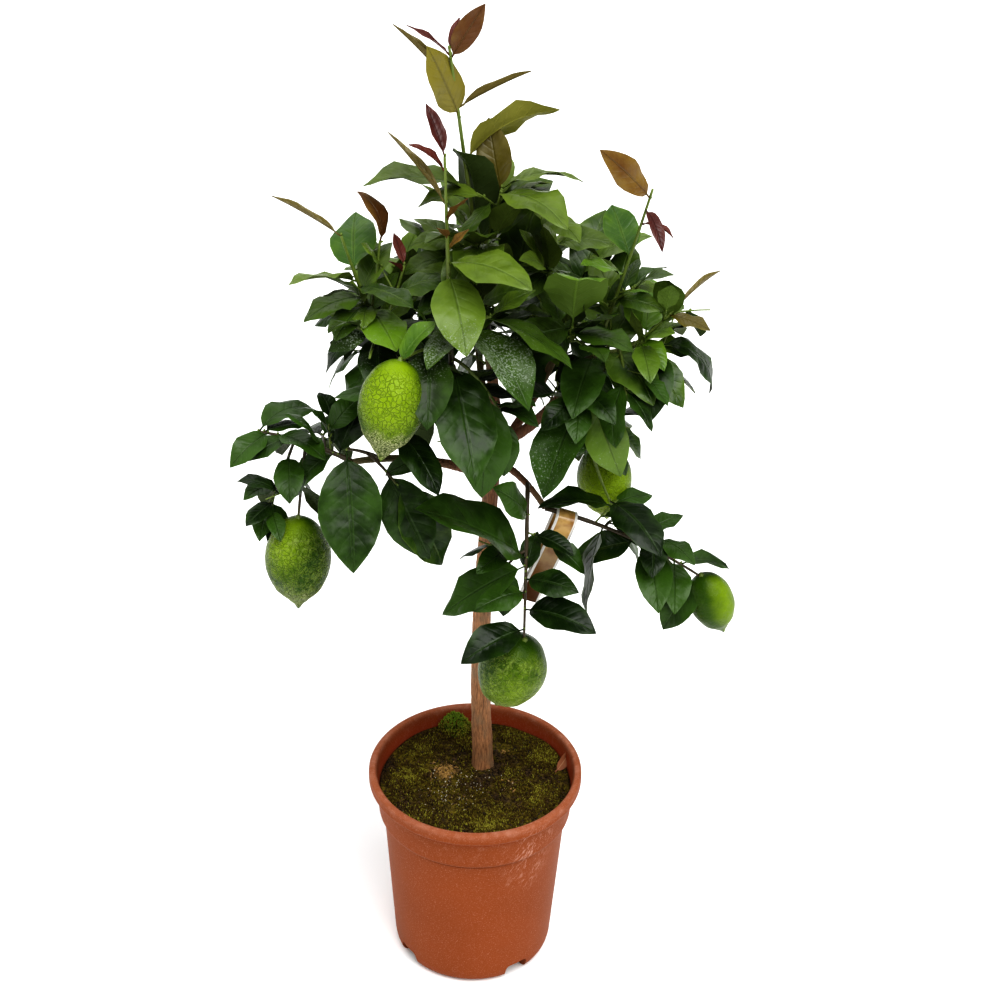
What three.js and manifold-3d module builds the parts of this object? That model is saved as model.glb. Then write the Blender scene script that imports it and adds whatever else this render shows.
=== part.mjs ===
// Potted standard lemon tree: a short trunk in a terracotta-coloured nursery pot, nine boughs off
// its head, and a loose crown of leafy shoots with five green lemons and one blank loop label.
// Millimetres, +Z up, -Y is the front. The origin is the centre of the pot's flat underside.
import * as THREE from 'three';
import { mergeVertices } from 'three/addons/utils/BufferGeometryUtils.js';
import Module from 'manifold-3d';

const wasm = await Module();
wasm.setup();

// Clearance between neighbouring pieces
const GAP = 0.35;

// Pot
const POT_HEIGHT = 206;
const RIM_RADIUS = 100;
const RIM_WIDTH = 7.3;
const LIP_DROP = 12;
const SHOULDER_RADIUS = 92.5;
const SHOULDER_DROP = 45;
const BODY_RADIUS = 86;
const FOOT_RADIUS = 75.5;
const WALL = 2;
const FLOOR = 2.5;
const POT_SIDES = 32;
const NOTCHES = 4;
const NOTCH_TURN = 35;
const NOTCH_WIDTH = 24;
const NOTCH_HEIGHT = 16;
const NOTCH_START = 58;

// Soil
const SOIL_LEVEL = 190;
const SOIL_RINGS = 4;
const SOIL_MOUND = 1.4;
const SOIL_DISH = 2.5;
const SOIL_WAVES = [19, 23, 13];
const LEVEL_RADIUS = 14;

// Trunk, from the flat cut at the soil to the fork
const TRUNK_FOOT = [7, 24, SOIL_LEVEL + GAP];
const TRUNK_WAIST = [3, 20, 330];
const TRUNK_NECK = [8, 20, 480];
const TRUNK_HEAD = [13, 20, 560];
const TRUNK_RADIUS = 9.8;
const TRUNK_TOP_RADIUS = 6.6;
const FLARE = 2.6;
const FLARE_HEIGHT = 9;
const ROOTS = 3;
const ROOT_SHARE = 0.3;
const TRUNK_STEPS = 8;
const TRUNK_SIDES = 10;
const BOUGH_SIDES = 7;
const BOUGH_STEPS = 5;

// Boughs: the trunk height that each leaves from, its tip, how far its middle arches up, its
// radius where it leaves and at its tip
const BOUGHS = {
  bough_leader: { from: 560, tip: [5, 15, 655], arch: 0, radii: [6.2, 3.6] },
  bough_right: { from: 547, tip: [86, 10, 636], arch: -16, radii: [5.2, 3.2] },
  bough_upper_left: { from: 528, tip: [-81, -10, 657], arch: -10, radii: [5, 3.2] },
  bough_front: { from: 544, tip: [-25, -50, 661], arch: -12, radii: [4.4, 3] },
  bough_low_left: { from: 512, tip: [-107, -45, 565], arch: 10, radii: [4.6, 2.8] },
  bough_low_right: { from: 530, tip: [56, -25, 510], arch: 8, radii: [3.6, 2.6] },
  bough_back_left: { from: 498, tip: [-62, 95, 610], arch: -10, radii: [4.6, 3] },
  bough_back_right: { from: 536, tip: [76, 95, 626], arch: -12, radii: [4.6, 3] },
  bough_back: { from: 519, tip: [-5, 120, 600], arch: -8, radii: [4.4, 3] },
};

// Masses: the bough that carries each, where on it the stem starts, and the space that the mass
// keeps to, as the centre and half sizes of an ellipsoid
const MASSES = {
  crown_top: { on: 'bough_leader', at: 1, centre: [-10, 15, 790], reach: [115, 115, 165] },
  crown_front: { on: 'bough_front', at: 1, centre: [-25, -75, 700], reach: [110, 110, 175] },
  crown_upper_left: { on: 'bough_upper_left', at: 1, centre: [-100, -20, 705], reach: [78, 110, 95] },
  crown_upper_right: { on: 'bough_right', at: 0.78, centre: [50, -5, 690], reach: [90, 110, 88] },
  crown_right: { on: 'bough_right', at: 1, centre: [140, 0, 680], reach: [85, 100, 170] },
  crown_low_left: { on: 'bough_low_left', at: 1, centre: [-130, -40, 545], reach: [115, 120, 125] },
  crown_low_inner: { on: 'bough_low_left', at: 0.82, centre: [-75, -75, 530], reach: [70, 95, 90] },
  crown_low_front: { on: 'bough_low_right', at: 0.62, centre: [35, -75, 450], reach: [110, 85, 130] },
  crown_low_right: { on: 'bough_low_right', at: 1, centre: [150, -25, 460], reach: [110, 95, 100] },
  crown_hanging: { on: 'bough_right', at: 0.52, centre: [85, -20, 570], reach: [75, 125, 110] },
  crown_back_left: { on: 'bough_back_left', at: 1, centre: [-70, 105, 615], reach: [86, 105, 135] },
  crown_back_right: { on: 'bough_back_right', at: 1, centre: [80, 100, 625], reach: [90, 105, 135] },
  crown_back: { on: 'bough_back', at: 1, centre: [0, 140, 610], reach: [100, 95, 150] },
};

// Shoots: mass, name, shoot it leaves from ('' is the mass's own stem), place on that, tip, arch,
// radius at its foot, leaves dealt out by the rule, last place of such a leaf, their length, tint
const SHOOTS = [
  ['crown_top', 'leader', '', 0, [-30, 0, 912], 0, 2.4, 5, 0.36, 76, 'mid'],
  ['crown_top', 'leader_right', 'leader', 0.28, [13, 6, 792], -6, 1.6, 4, 0.9, 75, 'mid'],
  ['crown_top', 'leader_left', 'leader', 0.22, [-32, 24, 724], 4, 1.5, 5, 1, 56, 'mid'],
  ['crown_top', 'leader_back', 'leader', 0.16, [-4, 78, 740], 6, 1.6, 9, 1, 68, 'mid'],
  ['crown_top', 'leader_low', 'leader', 0.05, [46, 48, 700], 6, 1.6, 8, 1, 82, 'mid'],
  ['crown_front', 'maroon', '', 0, [-32, -40, 838], -4, 2.2, 4, 0.34, 75, 'mid'],
  ['crown_front', 'front_right', 'maroon', 0.1, [6, -62, 712], 4, 1.6, 4, 1, 80, 'deep'],
  ['crown_front', 'front_fruit', 'maroon', 0.06, [-65, -100, 689], 8, 1.6, 3, 0.8, 70, 'deep'],
  ['crown_front', 'front_low', 'maroon', 0.01, [-72, -76, 606], 6, 1.5, 5, 1, 80, 'deep'],
  ['crown_front', 'front_inner', 'maroon', 0.04, [18, -48, 612], 8, 1.5, 8, 1, 84, 'deep'],
  ['crown_upper_left', 'left_top', '', 0, [-114, -25, 762], -4, 2.2, 4, 0.5, 48, 'mid'],
  ['crown_upper_left', 'left_curl', 'left_top', 0.3, [-84, -12, 752], -4, 1.3, 1, 0.5, 50, 'mid'],
  ['crown_upper_left', 'left_maroon', 'left_top', 0.12, [-64, -26, 738], -6, 1.2, 3, 0.7, 50, 'mid'],
  ['crown_upper_left', 'left_out', 'left_top', 0.2, [-104, 14, 694], 5, 1.4, 7, 1, 46, 'deep'],
  ['crown_upper_left', 'left_front', 'left_top', 0.1, [-90, -72, 678], 5, 1.4, 4, 1, 54, 'deep'],
  ['crown_upper_right', 'right_crown', '', 0, [46, 12, 762], 4, 2, 9, 0.85, 62, 'mid'],
  ['crown_upper_right', 'right_front', 'right_crown', 0.2, [72, -45, 696], 4, 1.6, 5, 0.8, 74, 'deep'],
  ['crown_upper_right', 'right_inner', 'right_crown', 0.35, [22, -30, 738], 4, 1.5, 8, 1, 75, 'mid'],
  ['crown_right', 'right_out', '', 0, [150, 0, 650], 6, 2.2, 7, 0.9, 58, 'mid'],
  ['crown_right', 'right_shoot', 'right_out', 0.12, [134, 10, 792], -4, 1.7, 3, 0.4, 48, 'mid'],
  ['crown_right', 'right_back', 'right_out', 0.3, [116, 56, 676], 4, 1.5, 7, 1, 54, 'mid'],
  ['crown_right', 'right_mid', 'right_out', 0.55, [161, 3, 692], -2, 1.4, 4, 1, 50, 'bright'],
  ['crown_right', 'right_end', 'right_out', 0.8, [166, 4, 652], 4, 1.2, 3, 0.9, 50, 'mid'],
  ['crown_right', 'right_low', 'right_out', 0.45, [118, -45, 634], 8, 1.4, 6, 1, 52, 'deep'],
  ['crown_low_left', 'low_out', '', 0, [-187, -20, 578], 4, 2.2, 5, 0.9, 52, 'deep'],
  ['crown_low_left', 'low_back', 'low_out', 0.3, [-138, 28, 546], 5, 1.4, 6, 1, 48, 'deep'],
  ['crown_low_left', 'low_drop', 'low_out', 0.62, [-180, -30, 512], -2, 1.3, 5, 1, 48, 'deep'],
  ['crown_low_left', 'low_fruit', 'low_out', 0.5, [-153, -56, 513], 4, 1.6, 2, 0.7, 50, 'deep'],
  ['crown_low_inner', 'low_broad', '', 0, [-110, -70, 592], 2, 1.9, 2, 1, 80, 'deep'],
  ['crown_low_inner', 'low_under', 'low_broad', 0.4, [-70, -64, 556], 2, 1.5, 3, 1, 80, 'deep'],
  ['crown_low_front', 'drop', '', 0, [40, -77, 406], 42, 2.1, 2, 0.95, 56, 'deep'],
  ['crown_low_front', 'drop_left', 'drop', 0.45, [20, -52, 462], 3, 1.3, 2, 1, 52, 'deep'],
  ['crown_low_right', 'reach', '', 0, [196, -20, 438], 8, 2.1, 4, 0.95, 56, 'deep'],
  ['crown_low_right', 'reach_back', 'reach', 0.35, [126, 36, 458], 5, 1.4, 6, 1, 64, 'deep'],
  ['crown_low_right', 'reach_up', 'reach', 0.45, [156, -25, 480], 4, 1.3, 3, 1, 40, 'deep'],
  ['crown_hanging', 'hang', '', 0, [91, -30, 624], 6, 1.9, 6, 1, 62, 'deep'],
  ['crown_hanging', 'hang_fruit', 'hang', 0.45, [105, 14, 546], 8, 1.5, 2, 0.8, 60, 'mid'],
  ['crown_hanging', 'hang_out', 'hang', 0.7, [114, -20, 510], -10, 1.4, 1, 0.7, 60, 'deep'],
  ['crown_back_left', 'back_left_up', '', 0, [-78, 98, 655], 4, 2.2, 10, 1, 60, 'mid'],
  ['crown_back_left', 'back_left_out', 'back_left_up', 0.1, [-122, 88, 632], 8, 1.7, 10, 1, 76, 'deep'],
  ['crown_back_left', 'back_left_low', 'back_left_up', 0.04, [-96, 132, 566], 10, 1.6, 9, 1, 84, 'deep'],
  ['crown_back_left', 'back_left_in', 'back_left_up', 0.3, [-36, 112, 662], 4, 1.5, 8, 1, 62, 'deep'],
  ['crown_back_left', 'back_left_drop', 'back_left_up', 0.03, [-62, 118, 545], 12, 1.5, 9, 1, 84, 'deep'],
  ['crown_back_right', 'back_right_up', '', 0, [84, 88, 674], 4, 2.2, 10, 1, 68, 'mid'],
  ['crown_back_right', 'back_right_out', 'back_right_up', 0.1, [130, 90, 644], 8, 1.7, 10, 1, 76, 'deep'],
  ['crown_back_right', 'back_right_low', 'back_right_up', 0.04, [108, 134, 578], 10, 1.6, 9, 1, 84, 'deep'],
  ['crown_back_right', 'back_right_in', 'back_right_up', 0.3, [40, 108, 680], 4, 1.5, 8, 1, 64, 'deep'],
  ['crown_back_right', 'back_right_drop', 'back_right_up', 0.03, [66, 118, 556], 12, 1.5, 9, 1, 84, 'deep'],
  ['crown_back', 'back_up', '', 0, [-5, 140, 680], 6, 2.2, 11, 1, 74, 'mid'],
  ['crown_back', 'back_low', 'back_up', 0.05, [4, 172, 540], 12, 1.7, 10, 1, 86, 'deep'],
  ['crown_back', 'back_side', 'back_up', 0.2, [50, 168, 632], 6, 1.5, 8, 1, 78, 'deep'],
  ['crown_back', 'back_other', 'back_up', 0.15, [-52, 166, 618], 6, 1.5, 8, 1, 78, 'deep'],
];

// Leaves set by hand: shoot, place on it, bearing and rise in degrees, length, tint, bend and roll
// in degrees
const SET_LEAVES = [
  ['leader', 0.96, 17, 57, 50, 'bronze', 10, 55],
  ['leader', 0.99, 70, 42, 28, 'maroon', 10, 0],
  ['leader', 0.97, 181, 35, 42, 'maroon', 20, 0],
  ['leader', 0.86, 160, 41, 70, 'sliver', 10, 0],
  ['leader', 0.8, 352, 31, 68, 'sliver', 10, 0],
  ['leader', 0.77, 205, 66, 68, 'olive', 15, -75],
  ['leader', 0.62, 12, 27, 86, 'olive', 60, -50],
  ['leader', 0.52, 195, 8, 88, 'deep', 50, 0],
  ['leader', 0.4, 240, 68, 82, 'deep', 70, 0],
  ['leader_right', 0.95, 115, 64, 60, 'olive', 20, -30],
  ['leader_right', 1, 4, 4, 66, 'mid', 60, -12],
  ['leader_right', 0.9, 310, 0, 82, 'mid', 60, 0],
  ['maroon', 1, 123, 50, 44, 'maroon', 10, 0],
  ['maroon', 0.93, 179, 37, 36, 'maroon', 40, 0],
  ['maroon', 0.78, 154, 44, 72, 'sliver', 8, 0],
  ['maroon', 0.7, 320, 50, 34, 'bronze', 20, 0],
  ['maroon', 0.62, 250, 40, 26, 'bronze', 20, 0],
  ['maroon', 0.56, 20, 42, 24, 'bronze', 20, 0],
  ['maroon', 0.5, 322, 2, 84, 'mid', 45, 0],
  ['maroon', 0.45, 283, -28, 80, 'mid', 40, 0],
  ['maroon', 0.02, 285, -40, 108, 'deep', 25, 0],
  ['front_right', 1, 20, 25, 42, 'mid', 30, 0],
  ['front_right', 0.5, 309, -28, 88, 'deep', 50, 0],
  ['front_right', 0.5, 240, -8, 64, 'deep', 40, 0],
  ['front_inner', 1, 275, -72, 50, 'deep', 40, 0],
  ['front_inner', 0.92, 317, 28, 44, 'deep', 40, 0],
  ['front_inner', 0.8, 331, -14, 42, 'deep', 40, 0],
  ['front_fruit', 1, 28, 42, 44, 'bright', 30, 0],
  ['front_low', 0.9, 312, -36, 64, 'deep', 40, 0],
  ['left_top', 1, 160, 22, 66, 'sliver', 10, 0],
  ['left_top', 0.68, 92, 18, 72, 'bright', 25, -20],
  ['left_top', 0.6, 222, 15, 72, 'mid', 30, 20],
  ['left_top', 0.45, 219, -4, 60, 'deep', 50, 0],
  ['left_top', 0.38, 245, -8, 55, 'deep', 50, 0],
  ['left_top', 0.55, 315, 4, 64, 'mid', 30, 0],
  ['left_top', 0.35, 292, -5, 68, 'bright', 30, 0],
  ['left_front', 0.2, 272, -22, 64, 'deep', 30, 0],
  ['left_curl', 1, 150, 60, 44, 'bronze', 100, 0],
  ['left_maroon', 1, 110, 30, 32, 'maroon', 10, 0],
  ['left_maroon', 0.92, 240, 40, 26, 'maroon', 10, 0],
  ['right_crown', 1, 305, 0, 52, 'mid', 60, 0],
  ['right_crown', 0.85, 20, -20, 50, 'mid', 50, 0],
  ['right_front', 0.85, 209, -2, 62, 'deep', 40, -35],
  ['right_front', 1, 271, 50, 90, 'bright', 70, 0],
  ['right_shoot', 0.5, 212, 24, 48, 'bright', 30, 0],
  ['right_shoot', 0.6, 105, 25, 58, 'bright', 10, 0],
  ['right_shoot', 0.95, 200, 46, 66, 'bronze', 20, -60],
  ['right_shoot', 0.88, 290, -30, 42, 'maroon', 60, 0],
  ['right_shoot', 0.8, 330, -10, 30, 'maroon', 60, 0],
  ['right_mid', 0.35, 85, 18, 68, 'bright', 20, 0],
  ['right_mid', 0.8, 320, 0, 42, 'olive', 20, 0],
  ['right_mid', 1, 45, 16, 54, 'sliver', 20, 0],
  ['right_end', 0.4, 356, -46, 62, 'deep', 120, 0],
  ['right_out', 0.9, 265, -35, 66, 'deep', 60, 0],
  ['right_out', 0.3, 300, -12, 74, 'mid', 60, 0],
  ['right_out', 0.12, 255, -16, 76, 'deep', 40, 0],
  ['hang', 0.85, 237, -50, 94, 'deep', 25, 0],
  ['hang', 1, 324, -64, 74, 'mid', 30, 55],
  ['hang_out', 0.95, 305, -14, 74, 'deep', 50, 0],
  ['hang_out', 1, 195, 6, 68, 'deep', 40, 0],
  ['low_out', 1, 40, -2, 60, 'deep', 90, 0],
  ['low_out', 0.95, 37, -8, 42, 'deep', 40, 0],
  ['low_out', 0.9, 227, -20, 46, 'deep', 60, -20],
  ['low_out', 0.8, 321, -4, 55, 'deep', 50, 0],
  ['low_out', 0.15, 58, 38, 54, 'deep', 40, 0],
  ['low_drop', 0.25, 275, -22, 50, 'deep', 40, 0],
  ['low_drop', 0.7, 230, 5, 40, 'deep', 40, 0],
  ['low_drop', 1, 262, -20, 40, 'deep', 40, 0],
  ['low_broad', 1, 278, -58, 102, 'deep', 25, 0],
  ['low_under', 0.6, 329, -59, 85, 'deep', 25, 45],
  ['low_under', 1, 9, -65, 93, 'mid', 25, 60],
  ['drop', 0.25, 223, 47, 60, 'deep', 30, -55],
  ['drop', 0.5, 204, 36, 127, 'deep', 25, -20],
  ['drop', 0.54, 181, -36, 88, 'deep', 25, -30],
  ['drop', 0.58, 70, 40, 38, 'deep', 30, 0],
  ['drop', 0.62, 330, 5, 52, 'deep', 40, 20],
  ['drop', 0.7, 211, -3, 51, 'deep', 60, -20],
  ['drop', 0.8, 333, -2, 68, 'deep', 50, 20],
  ['drop', 0.92, 212, -12, 65, 'deep', 50, -20],
  ['reach', 0.34, 256, -43, 78, 'deep', 20, 60],
  ['reach', 0.55, 180, -20, 58, 'mid', 30, -35],
  ['reach', 0.62, 278, -28, 66, 'deep', 30, 0],
  ['reach_up', 0.85, 265, -18, 46, 'deep', 50, 0],
  ['reach_up', 1, 310, -5, 44, 'deep', 50, 0],
  ['reach', 0.8, 268, -20, 58, 'deep', 30, 0],
  ['reach', 1, 197, -56, 60, 'deep', 40, -30],
];

// Lemons: the shoot whose tip each hangs from, bearing and rise of its axis, length, radius
const LEMONS = [
  ['front_fruit', 230, -74, 86, 26.5],
  ['low_fruit', 260, -84, 88, 28],
  ['drop', 155, -72, 84, 29.5],
  ['reach', 0, -68, 66, 20],
  ['hang_fruit', 20, -84, 76, 24],
];

// Leaf forms: half width and fold of a blade, the width as a share of its length
const FORMS = {
  deep: { width: 0.27, fold: 14 },
  mid: { width: 0.27, fold: 12 },
  bright: { width: 0.29, fold: 12 },
  olive: { width: 0.25, fold: 14 },
  bronze: { width: 0.21, fold: 16 },
  maroon: { width: 0.17, fold: 25 },
  sliver: { width: 0.1, fold: 60 },
};
const LEAF_THICKNESS = 0.014;
const LEAF_ROOT = 0.45;
const BLADE_START = 0.2;
const LEAF_STATIONS = [[0.28, 0.94], [0.66, 0.9]];
const SHORT_STATIONS = [[0.44, 1]];
const SHORT_LEAF = 66;
const TWIG_TIP = 1;
const TWIG_STEP = 38;
const SMALL_EDGE = 0.02;

// Rule for the leaves that are dealt out along a shoot
const SEED = 24;
const GOLDEN_TURN = 137.5;
const FIRST_LEAF = 0.12;
const LEAF_SPREAD = 72;
const TIP_SPREAD = 28;
const DROOP = 0.28;
const SPACING = 15;
const TURN_SPREAD = 30;
const SIZE_SPREAD = [0.78, 1.12];
const BEND_SPREAD = [20, 70];
const ROLL_SPREAD = 50;

// Lemon outline from stalk to nipple: place along it, and share of its radius
const LEMON_OUTLINE = [
  [0, 0], [0.03, 0.34], [0.14, 0.72], [0.32, 0.97], [0.52, 0.98],
  [0.72, 0.74], [0.86, 0.36], [0.94, 0.17], [1, 0],
];
const LEMON_SIDES = 9;
const LEMON_SINK = 3;

// Loop label, a folded strip that hangs on the lowest right-hand shoot
const LABEL_SHOOT = 'reach';
const LABEL_PLACE = 0.12;
const LABEL_LENGTH = 88;
const LABEL_WIDTH = 19;
const LABEL_SPREAD = 9;
const LABEL_CARD = 0.9;
const LABEL_JOIN = 0.86;

// Colour and roughness of each kind of piece
const LOOKS = {
  pot: [0xb4593a, 0.55],
  soil: [0x2e2a16, 0.95],
  trunk: [0x6b4f3a, 0.8],
  bough: [0x5f5238, 0.75],
  crown: [0x2c5a24, 0.4],
  label: [0xc8b08a, 0.35],
};

const UP = new THREE.Vector3(0, 0, 1);
const rad = THREE.MathUtils.degToRad;
const { lerp } = THREE.MathUtils;

// Random numbers between 0 and 1, the same on every run
function dealer(seed) {
  let state = seed;
  return () => {
    state = (state * 1664525 + 1013904223) % 4294967296;
    return state / 4294967296;
  };
}

// Vector from a row of three numbers
function vec([x, y, z]) {
  return new THREE.Vector3(x, y, z);
}

// Unit vector from a bearing, turned from +X towards +Y, and a rise above the level
function heading(bearing, rise) {
  const level = Math.cos(rad(rise));
  return new THREE.Vector3(
    level * Math.cos(rad(bearing)), level * Math.sin(rad(bearing)), Math.sin(rad(rise)));
}

// Part of a that stands square to the unit vector b, at unit length
function square(a, b) {
  return a.clone().addScaledVector(b, -a.dot(b)).normalize();
}

// Closed solid from a geometry
function solid(geometry) {
  const plain = geometry.clone();
  plain.deleteAttribute('normal');
  plain.deleteAttribute('uv');
  const merged = mergeVertices(plain, 1e-4);
  return new wasm.Manifold(new wasm.Mesh({
    numProp: 3,
    vertProperties: new Float32Array(merged.attributes.position.array),
    triVerts: new Uint32Array(merged.index.array),
  }));
}

// Geometry of a closed solid
function geometryOf(body) {
  const mesh = body.getMesh();
  const geometry = new THREE.BufferGeometry();
  geometry.setAttribute('position', new THREE.Float32BufferAttribute(mesh.vertProperties, 3));
  geometry.setIndex(Array.from(mesh.triVerts));
  geometry.computeVertexNormals();
  return geometry;
}

// Skin over rings of equal size, closed by a flat face at each end or by a point
function skin(rings, point) {
  const sides = rings[0].length;
  const positions = rings.flat().concat(point ? [point] : []).flatMap((p) => [p.x, p.y, p.z]);
  const faces = [];
  for (let ring = 0; ring + 1 < rings.length; ring++) {
    for (let i = 0; i < sides; i++) {
      const a = ring * sides + i;
      const b = ring * sides + (i + 1) % sides;
      faces.push(a, b, b + sides, a, b + sides, a + sides);
    }
  }
  const last = (rings.length - 1) * sides;
  for (let i = 1; i + 1 < sides; i++) {
    faces.push(0, i + 1, i);
    if (!point) faces.push(last, last + i, last + i + 1);
  }
  if (point) {
    for (let i = 0; i < sides; i++) {
      faces.push(last + i, last + (i + 1) % sides, last + sides);
    }
  }
  const geometry = new THREE.BufferGeometry();
  geometry.setAttribute('position', new THREE.Float32BufferAttribute(positions, 3));
  geometry.setIndex(faces);
  return geometry;
}

// Tapering limb along a curve: its radius is a function of the place on it and the angle round it.
// A grown limb is larger all over by that much, for cutting its neighbours clear of it.
function limb({ curve, radiusAt, sides, places, level }, grow = 0) {
  let across = level ? new THREE.Vector3(1, 0, 0) : square(UP, curve.getTangentAt(0));
  const rings = places.map((place, index) => {
    const along = level ? UP : curve.getTangentAt(place);
    across = square(across, along);
    const aside = along.clone().cross(across);
    const end = index === 0 ? -1 : index === places.length - 1 ? 1 : 0;
    const centre = curve.getPointAt(place).addScaledVector(along, end * grow);
    return Array.from({ length: sides }, (_, i) => {
      const angle = 2 * Math.PI * i / sides;
      const radius = radiusAt(place, angle) + grow;
      return centre.clone()
        .addScaledVector(across, radius * Math.cos(angle))
        .addScaledVector(aside, radius * Math.sin(angle));
    });
  });
  return solid(skin(rings));
}

// Curve from one point to another, its middle raised by arch
function arched(from, tip, arch) {
  const middle = from.clone().lerp(tip, 0.5).addScaledVector(UP, 2 * arch);
  return new THREE.QuadraticBezierCurve3(from, middle, tip);
}

// Evenly spaced places along a curve, both ends included
function evenPlaces(steps) {
  return Array.from({ length: steps + 1 }, (_, i) => i / steps);
}

// Centreline and radius of the trunk, its foot swelling into low roots
function trunkForm() {
  const curve = new THREE.CatmullRomCurve3([TRUNK_FOOT, TRUNK_WAIST, TRUNK_NECK, TRUNK_HEAD].map(vec));
  const length = curve.getLength();
  const radiusAt = (place, angle) => {
    const flare = FLARE * Math.exp(-place * length / FLARE_HEIGHT);
    return lerp(TRUNK_RADIUS, TRUNK_TOP_RADIUS, place) + flare * (1 + ROOT_SHARE * Math.cos(ROOTS * angle));
  };
  const places = [0, 0.02, 0.05, ...evenPlaces(TRUNK_STEPS).slice(1)];
  return { curve, radiusAt, sides: TRUNK_SIDES, places, level: true };
}

// Centreline and radius of a bough, from inside the trunk or on top of it
function boughForm({ from, tip, arch, radii }, trunk) {
  const top = from >= TRUNK_HEAD[2];
  const start = trunk.curve.getPoint(placeAtHeight(trunk.curve, from));
  if (top) start.z += GAP;
  return {
    curve: arched(start, vec(tip), arch),
    radiusAt: (place) => lerp(radii[0], radii[1], place),
    sides: BOUGH_SIDES,
    places: evenPlaces(BOUGH_STEPS),
    level: top,
  };
}

// Place on a rising curve where it passes a height
function placeAtHeight(curve, height) {
  let low = 0;
  let high = 1;
  while (high - low > 1e-6) {
    const middle = (low + high) / 2;
    if (curve.getPoint(middle).z < height) low = middle;
    else high = middle;
  }
  return high;
}

// Centreline and radius of a twig
function twigForm(from, tip, arch, radius) {
  const curve = arched(from, tip, arch);
  const steps = Math.max(2, Math.round(curve.getLength() / TWIG_STEP));
  return {
    curve,
    radiusAt: (place) => lerp(radius, TWIG_TIP, place),
    sides: 3,
    places: evenPlaces(steps),
    level: false,
  };
}

// A leaf's blade: its root, the direction and upper face there, its length, bend and form. The
// given way is that of its chord, from root to tip.
function blade(root, way, length, tint, bend, roll) {
  const face = square(UP, way).applyAxisAngle(way, rad(roll));
  const half = rad(bend) / 2;
  const along = way.clone().multiplyScalar(Math.cos(half)).addScaledVector(face, Math.sin(half));
  const upper = face.multiplyScalar(Math.cos(half)).addScaledVector(way, -Math.sin(half));
  return { root, along, upper, length: length * half / Math.sin(half), tint, bend: 2 * half };
}

// Point of a blade's midrib, and the direction its upper face looks there
function midrib({ root, along, upper, length, bend }, place) {
  const turned = bend * place;
  const point = root.clone()
    .addScaledVector(along, length * Math.sin(turned) / bend)
    .addScaledVector(upper, -length * (1 - Math.cos(turned)) / bend);
  const normal = upper.clone().multiplyScalar(Math.cos(turned)).addScaledVector(along, Math.sin(turned));
  return { point, normal };
}

// Solid of a leaf, or of its blade alone without the root that sinks into the shoot
function leafSolid(leaf, bladeOnly = false) {
  const { width, fold } = FORMS[leaf.tint];
  const side = leaf.along.clone().cross(leaf.upper);
  const half = LEAF_THICKNESS * leaf.length / 2;
  const ring = (place, spread, lift, thick) => {
    const { point, normal } = midrib(leaf, place);
    const edge = (sign) => point.clone().addScaledVector(side, sign * spread).addScaledVector(normal, lift);
    const rib = (sign) => point.clone().addScaledVector(normal, sign * thick);
    return [edge(-1), rib(1), edge(1), rib(-1)];
  };
  const stations = leaf.length < SHORT_LEAF ? SHORT_STATIONS : LEAF_STATIONS;
  const rings = [bladeOnly ? ring(BLADE_START, LEAF_ROOT, 0, half) : ring(0, LEAF_ROOT, 0, LEAF_ROOT)];
  for (const [place, share] of stations) {
    const reach = width * leaf.length * share;
    rings.push(ring(place, reach * Math.cos(rad(fold)), reach * Math.sin(rad(fold)), half));
  }
  return solid(skin(rings, midrib(leaf, 1).point));
}

// Lemon hanging by its stalk end from the tip of its shoot
function lemonSolid([, bearing, rise, length, radius], stalk) {
  const profile = LEMON_OUTLINE.map(([place, share]) => new THREE.Vector2(radius * share, -length * place));
  const geometry = new THREE.LatheGeometry(profile.reverse(), LEMON_SIDES);
  const axis = heading(bearing, rise);
  geometry.applyQuaternion(new THREE.Quaternion().setFromUnitVectors(new THREE.Vector3(0, -1, 0), axis));
  const seat = stalk.clone().addScaledVector(axis, -LEMON_SINK);
  geometry.translate(seat.x, seat.y, seat.z);
  return solid(geometry);
}

// Leaves that the rule deals out along a shoot, turned by the golden angle from one to the next
function dealtLeaves(form, count, upTo, length, tint, random) {
  const leaves = [];
  let turn = 360 * random();
  for (let i = 0; i < count; i++) {
    const place = FIRST_LEAF + (upTo - FIRST_LEAF) * (i + 0.5) / count;
    const along = form.curve.getTangentAt(place);
    turn += GOLDEN_TURN + TURN_SPREAD * (random() - 0.5);
    const out = square(Math.abs(along.z) > 0.9 ? new THREE.Vector3(1, 0, 0) : UP, along)
      .applyAxisAngle(along, rad(turn));
    const spread = rad(lerp(LEAF_SPREAD, TIP_SPREAD, place));
    const way = along.multiplyScalar(Math.cos(spread)).addScaledVector(out, Math.sin(spread));
    way.z -= DROOP * (0.5 + random());
    way.normalize();
    const size = length * lerp(...SIZE_SPREAD, random());
    const bend = lerp(...BEND_SPREAD, random());
    const roll = ROLL_SPREAD * (random() - 0.5);
    leaves.push(blade(form.curve.getPointAt(place), way, size, tint, bend, roll));
  }
  return leaves;
}

// Boxes round two bodies meet, or lie within a gap of each other
function near(a, b, gap) {
  return [0, 1, 2].every((axis) => a.box.min[axis] - gap < b.box.max[axis]
    && b.box.min[axis] - gap < a.box.max[axis]);
}

// A body, the mass that it belongs to, and the box round it
function thing(body, mass) {
  return { body, mass, box: body.boundingBox() };
}

// Whether a body keeps clear of every listed thing that isn't of its own mass
function clear(item, things) {
  return things.every((other) => (item.mass && other.mass === item.mass) || !near(item, other, GAP)
    || item.body.minGap(other.body, 2 * GAP) >= GAP);
}

// Whether a point lies in a mass's own space
function within(space, point) {
  return ['x', 'y', 'z'].reduce((sum, axis, i) =>
    sum + ((point[axis] - space.centre[i]) / space.reach[i]) ** 2, 0) <= 1;
}

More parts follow.
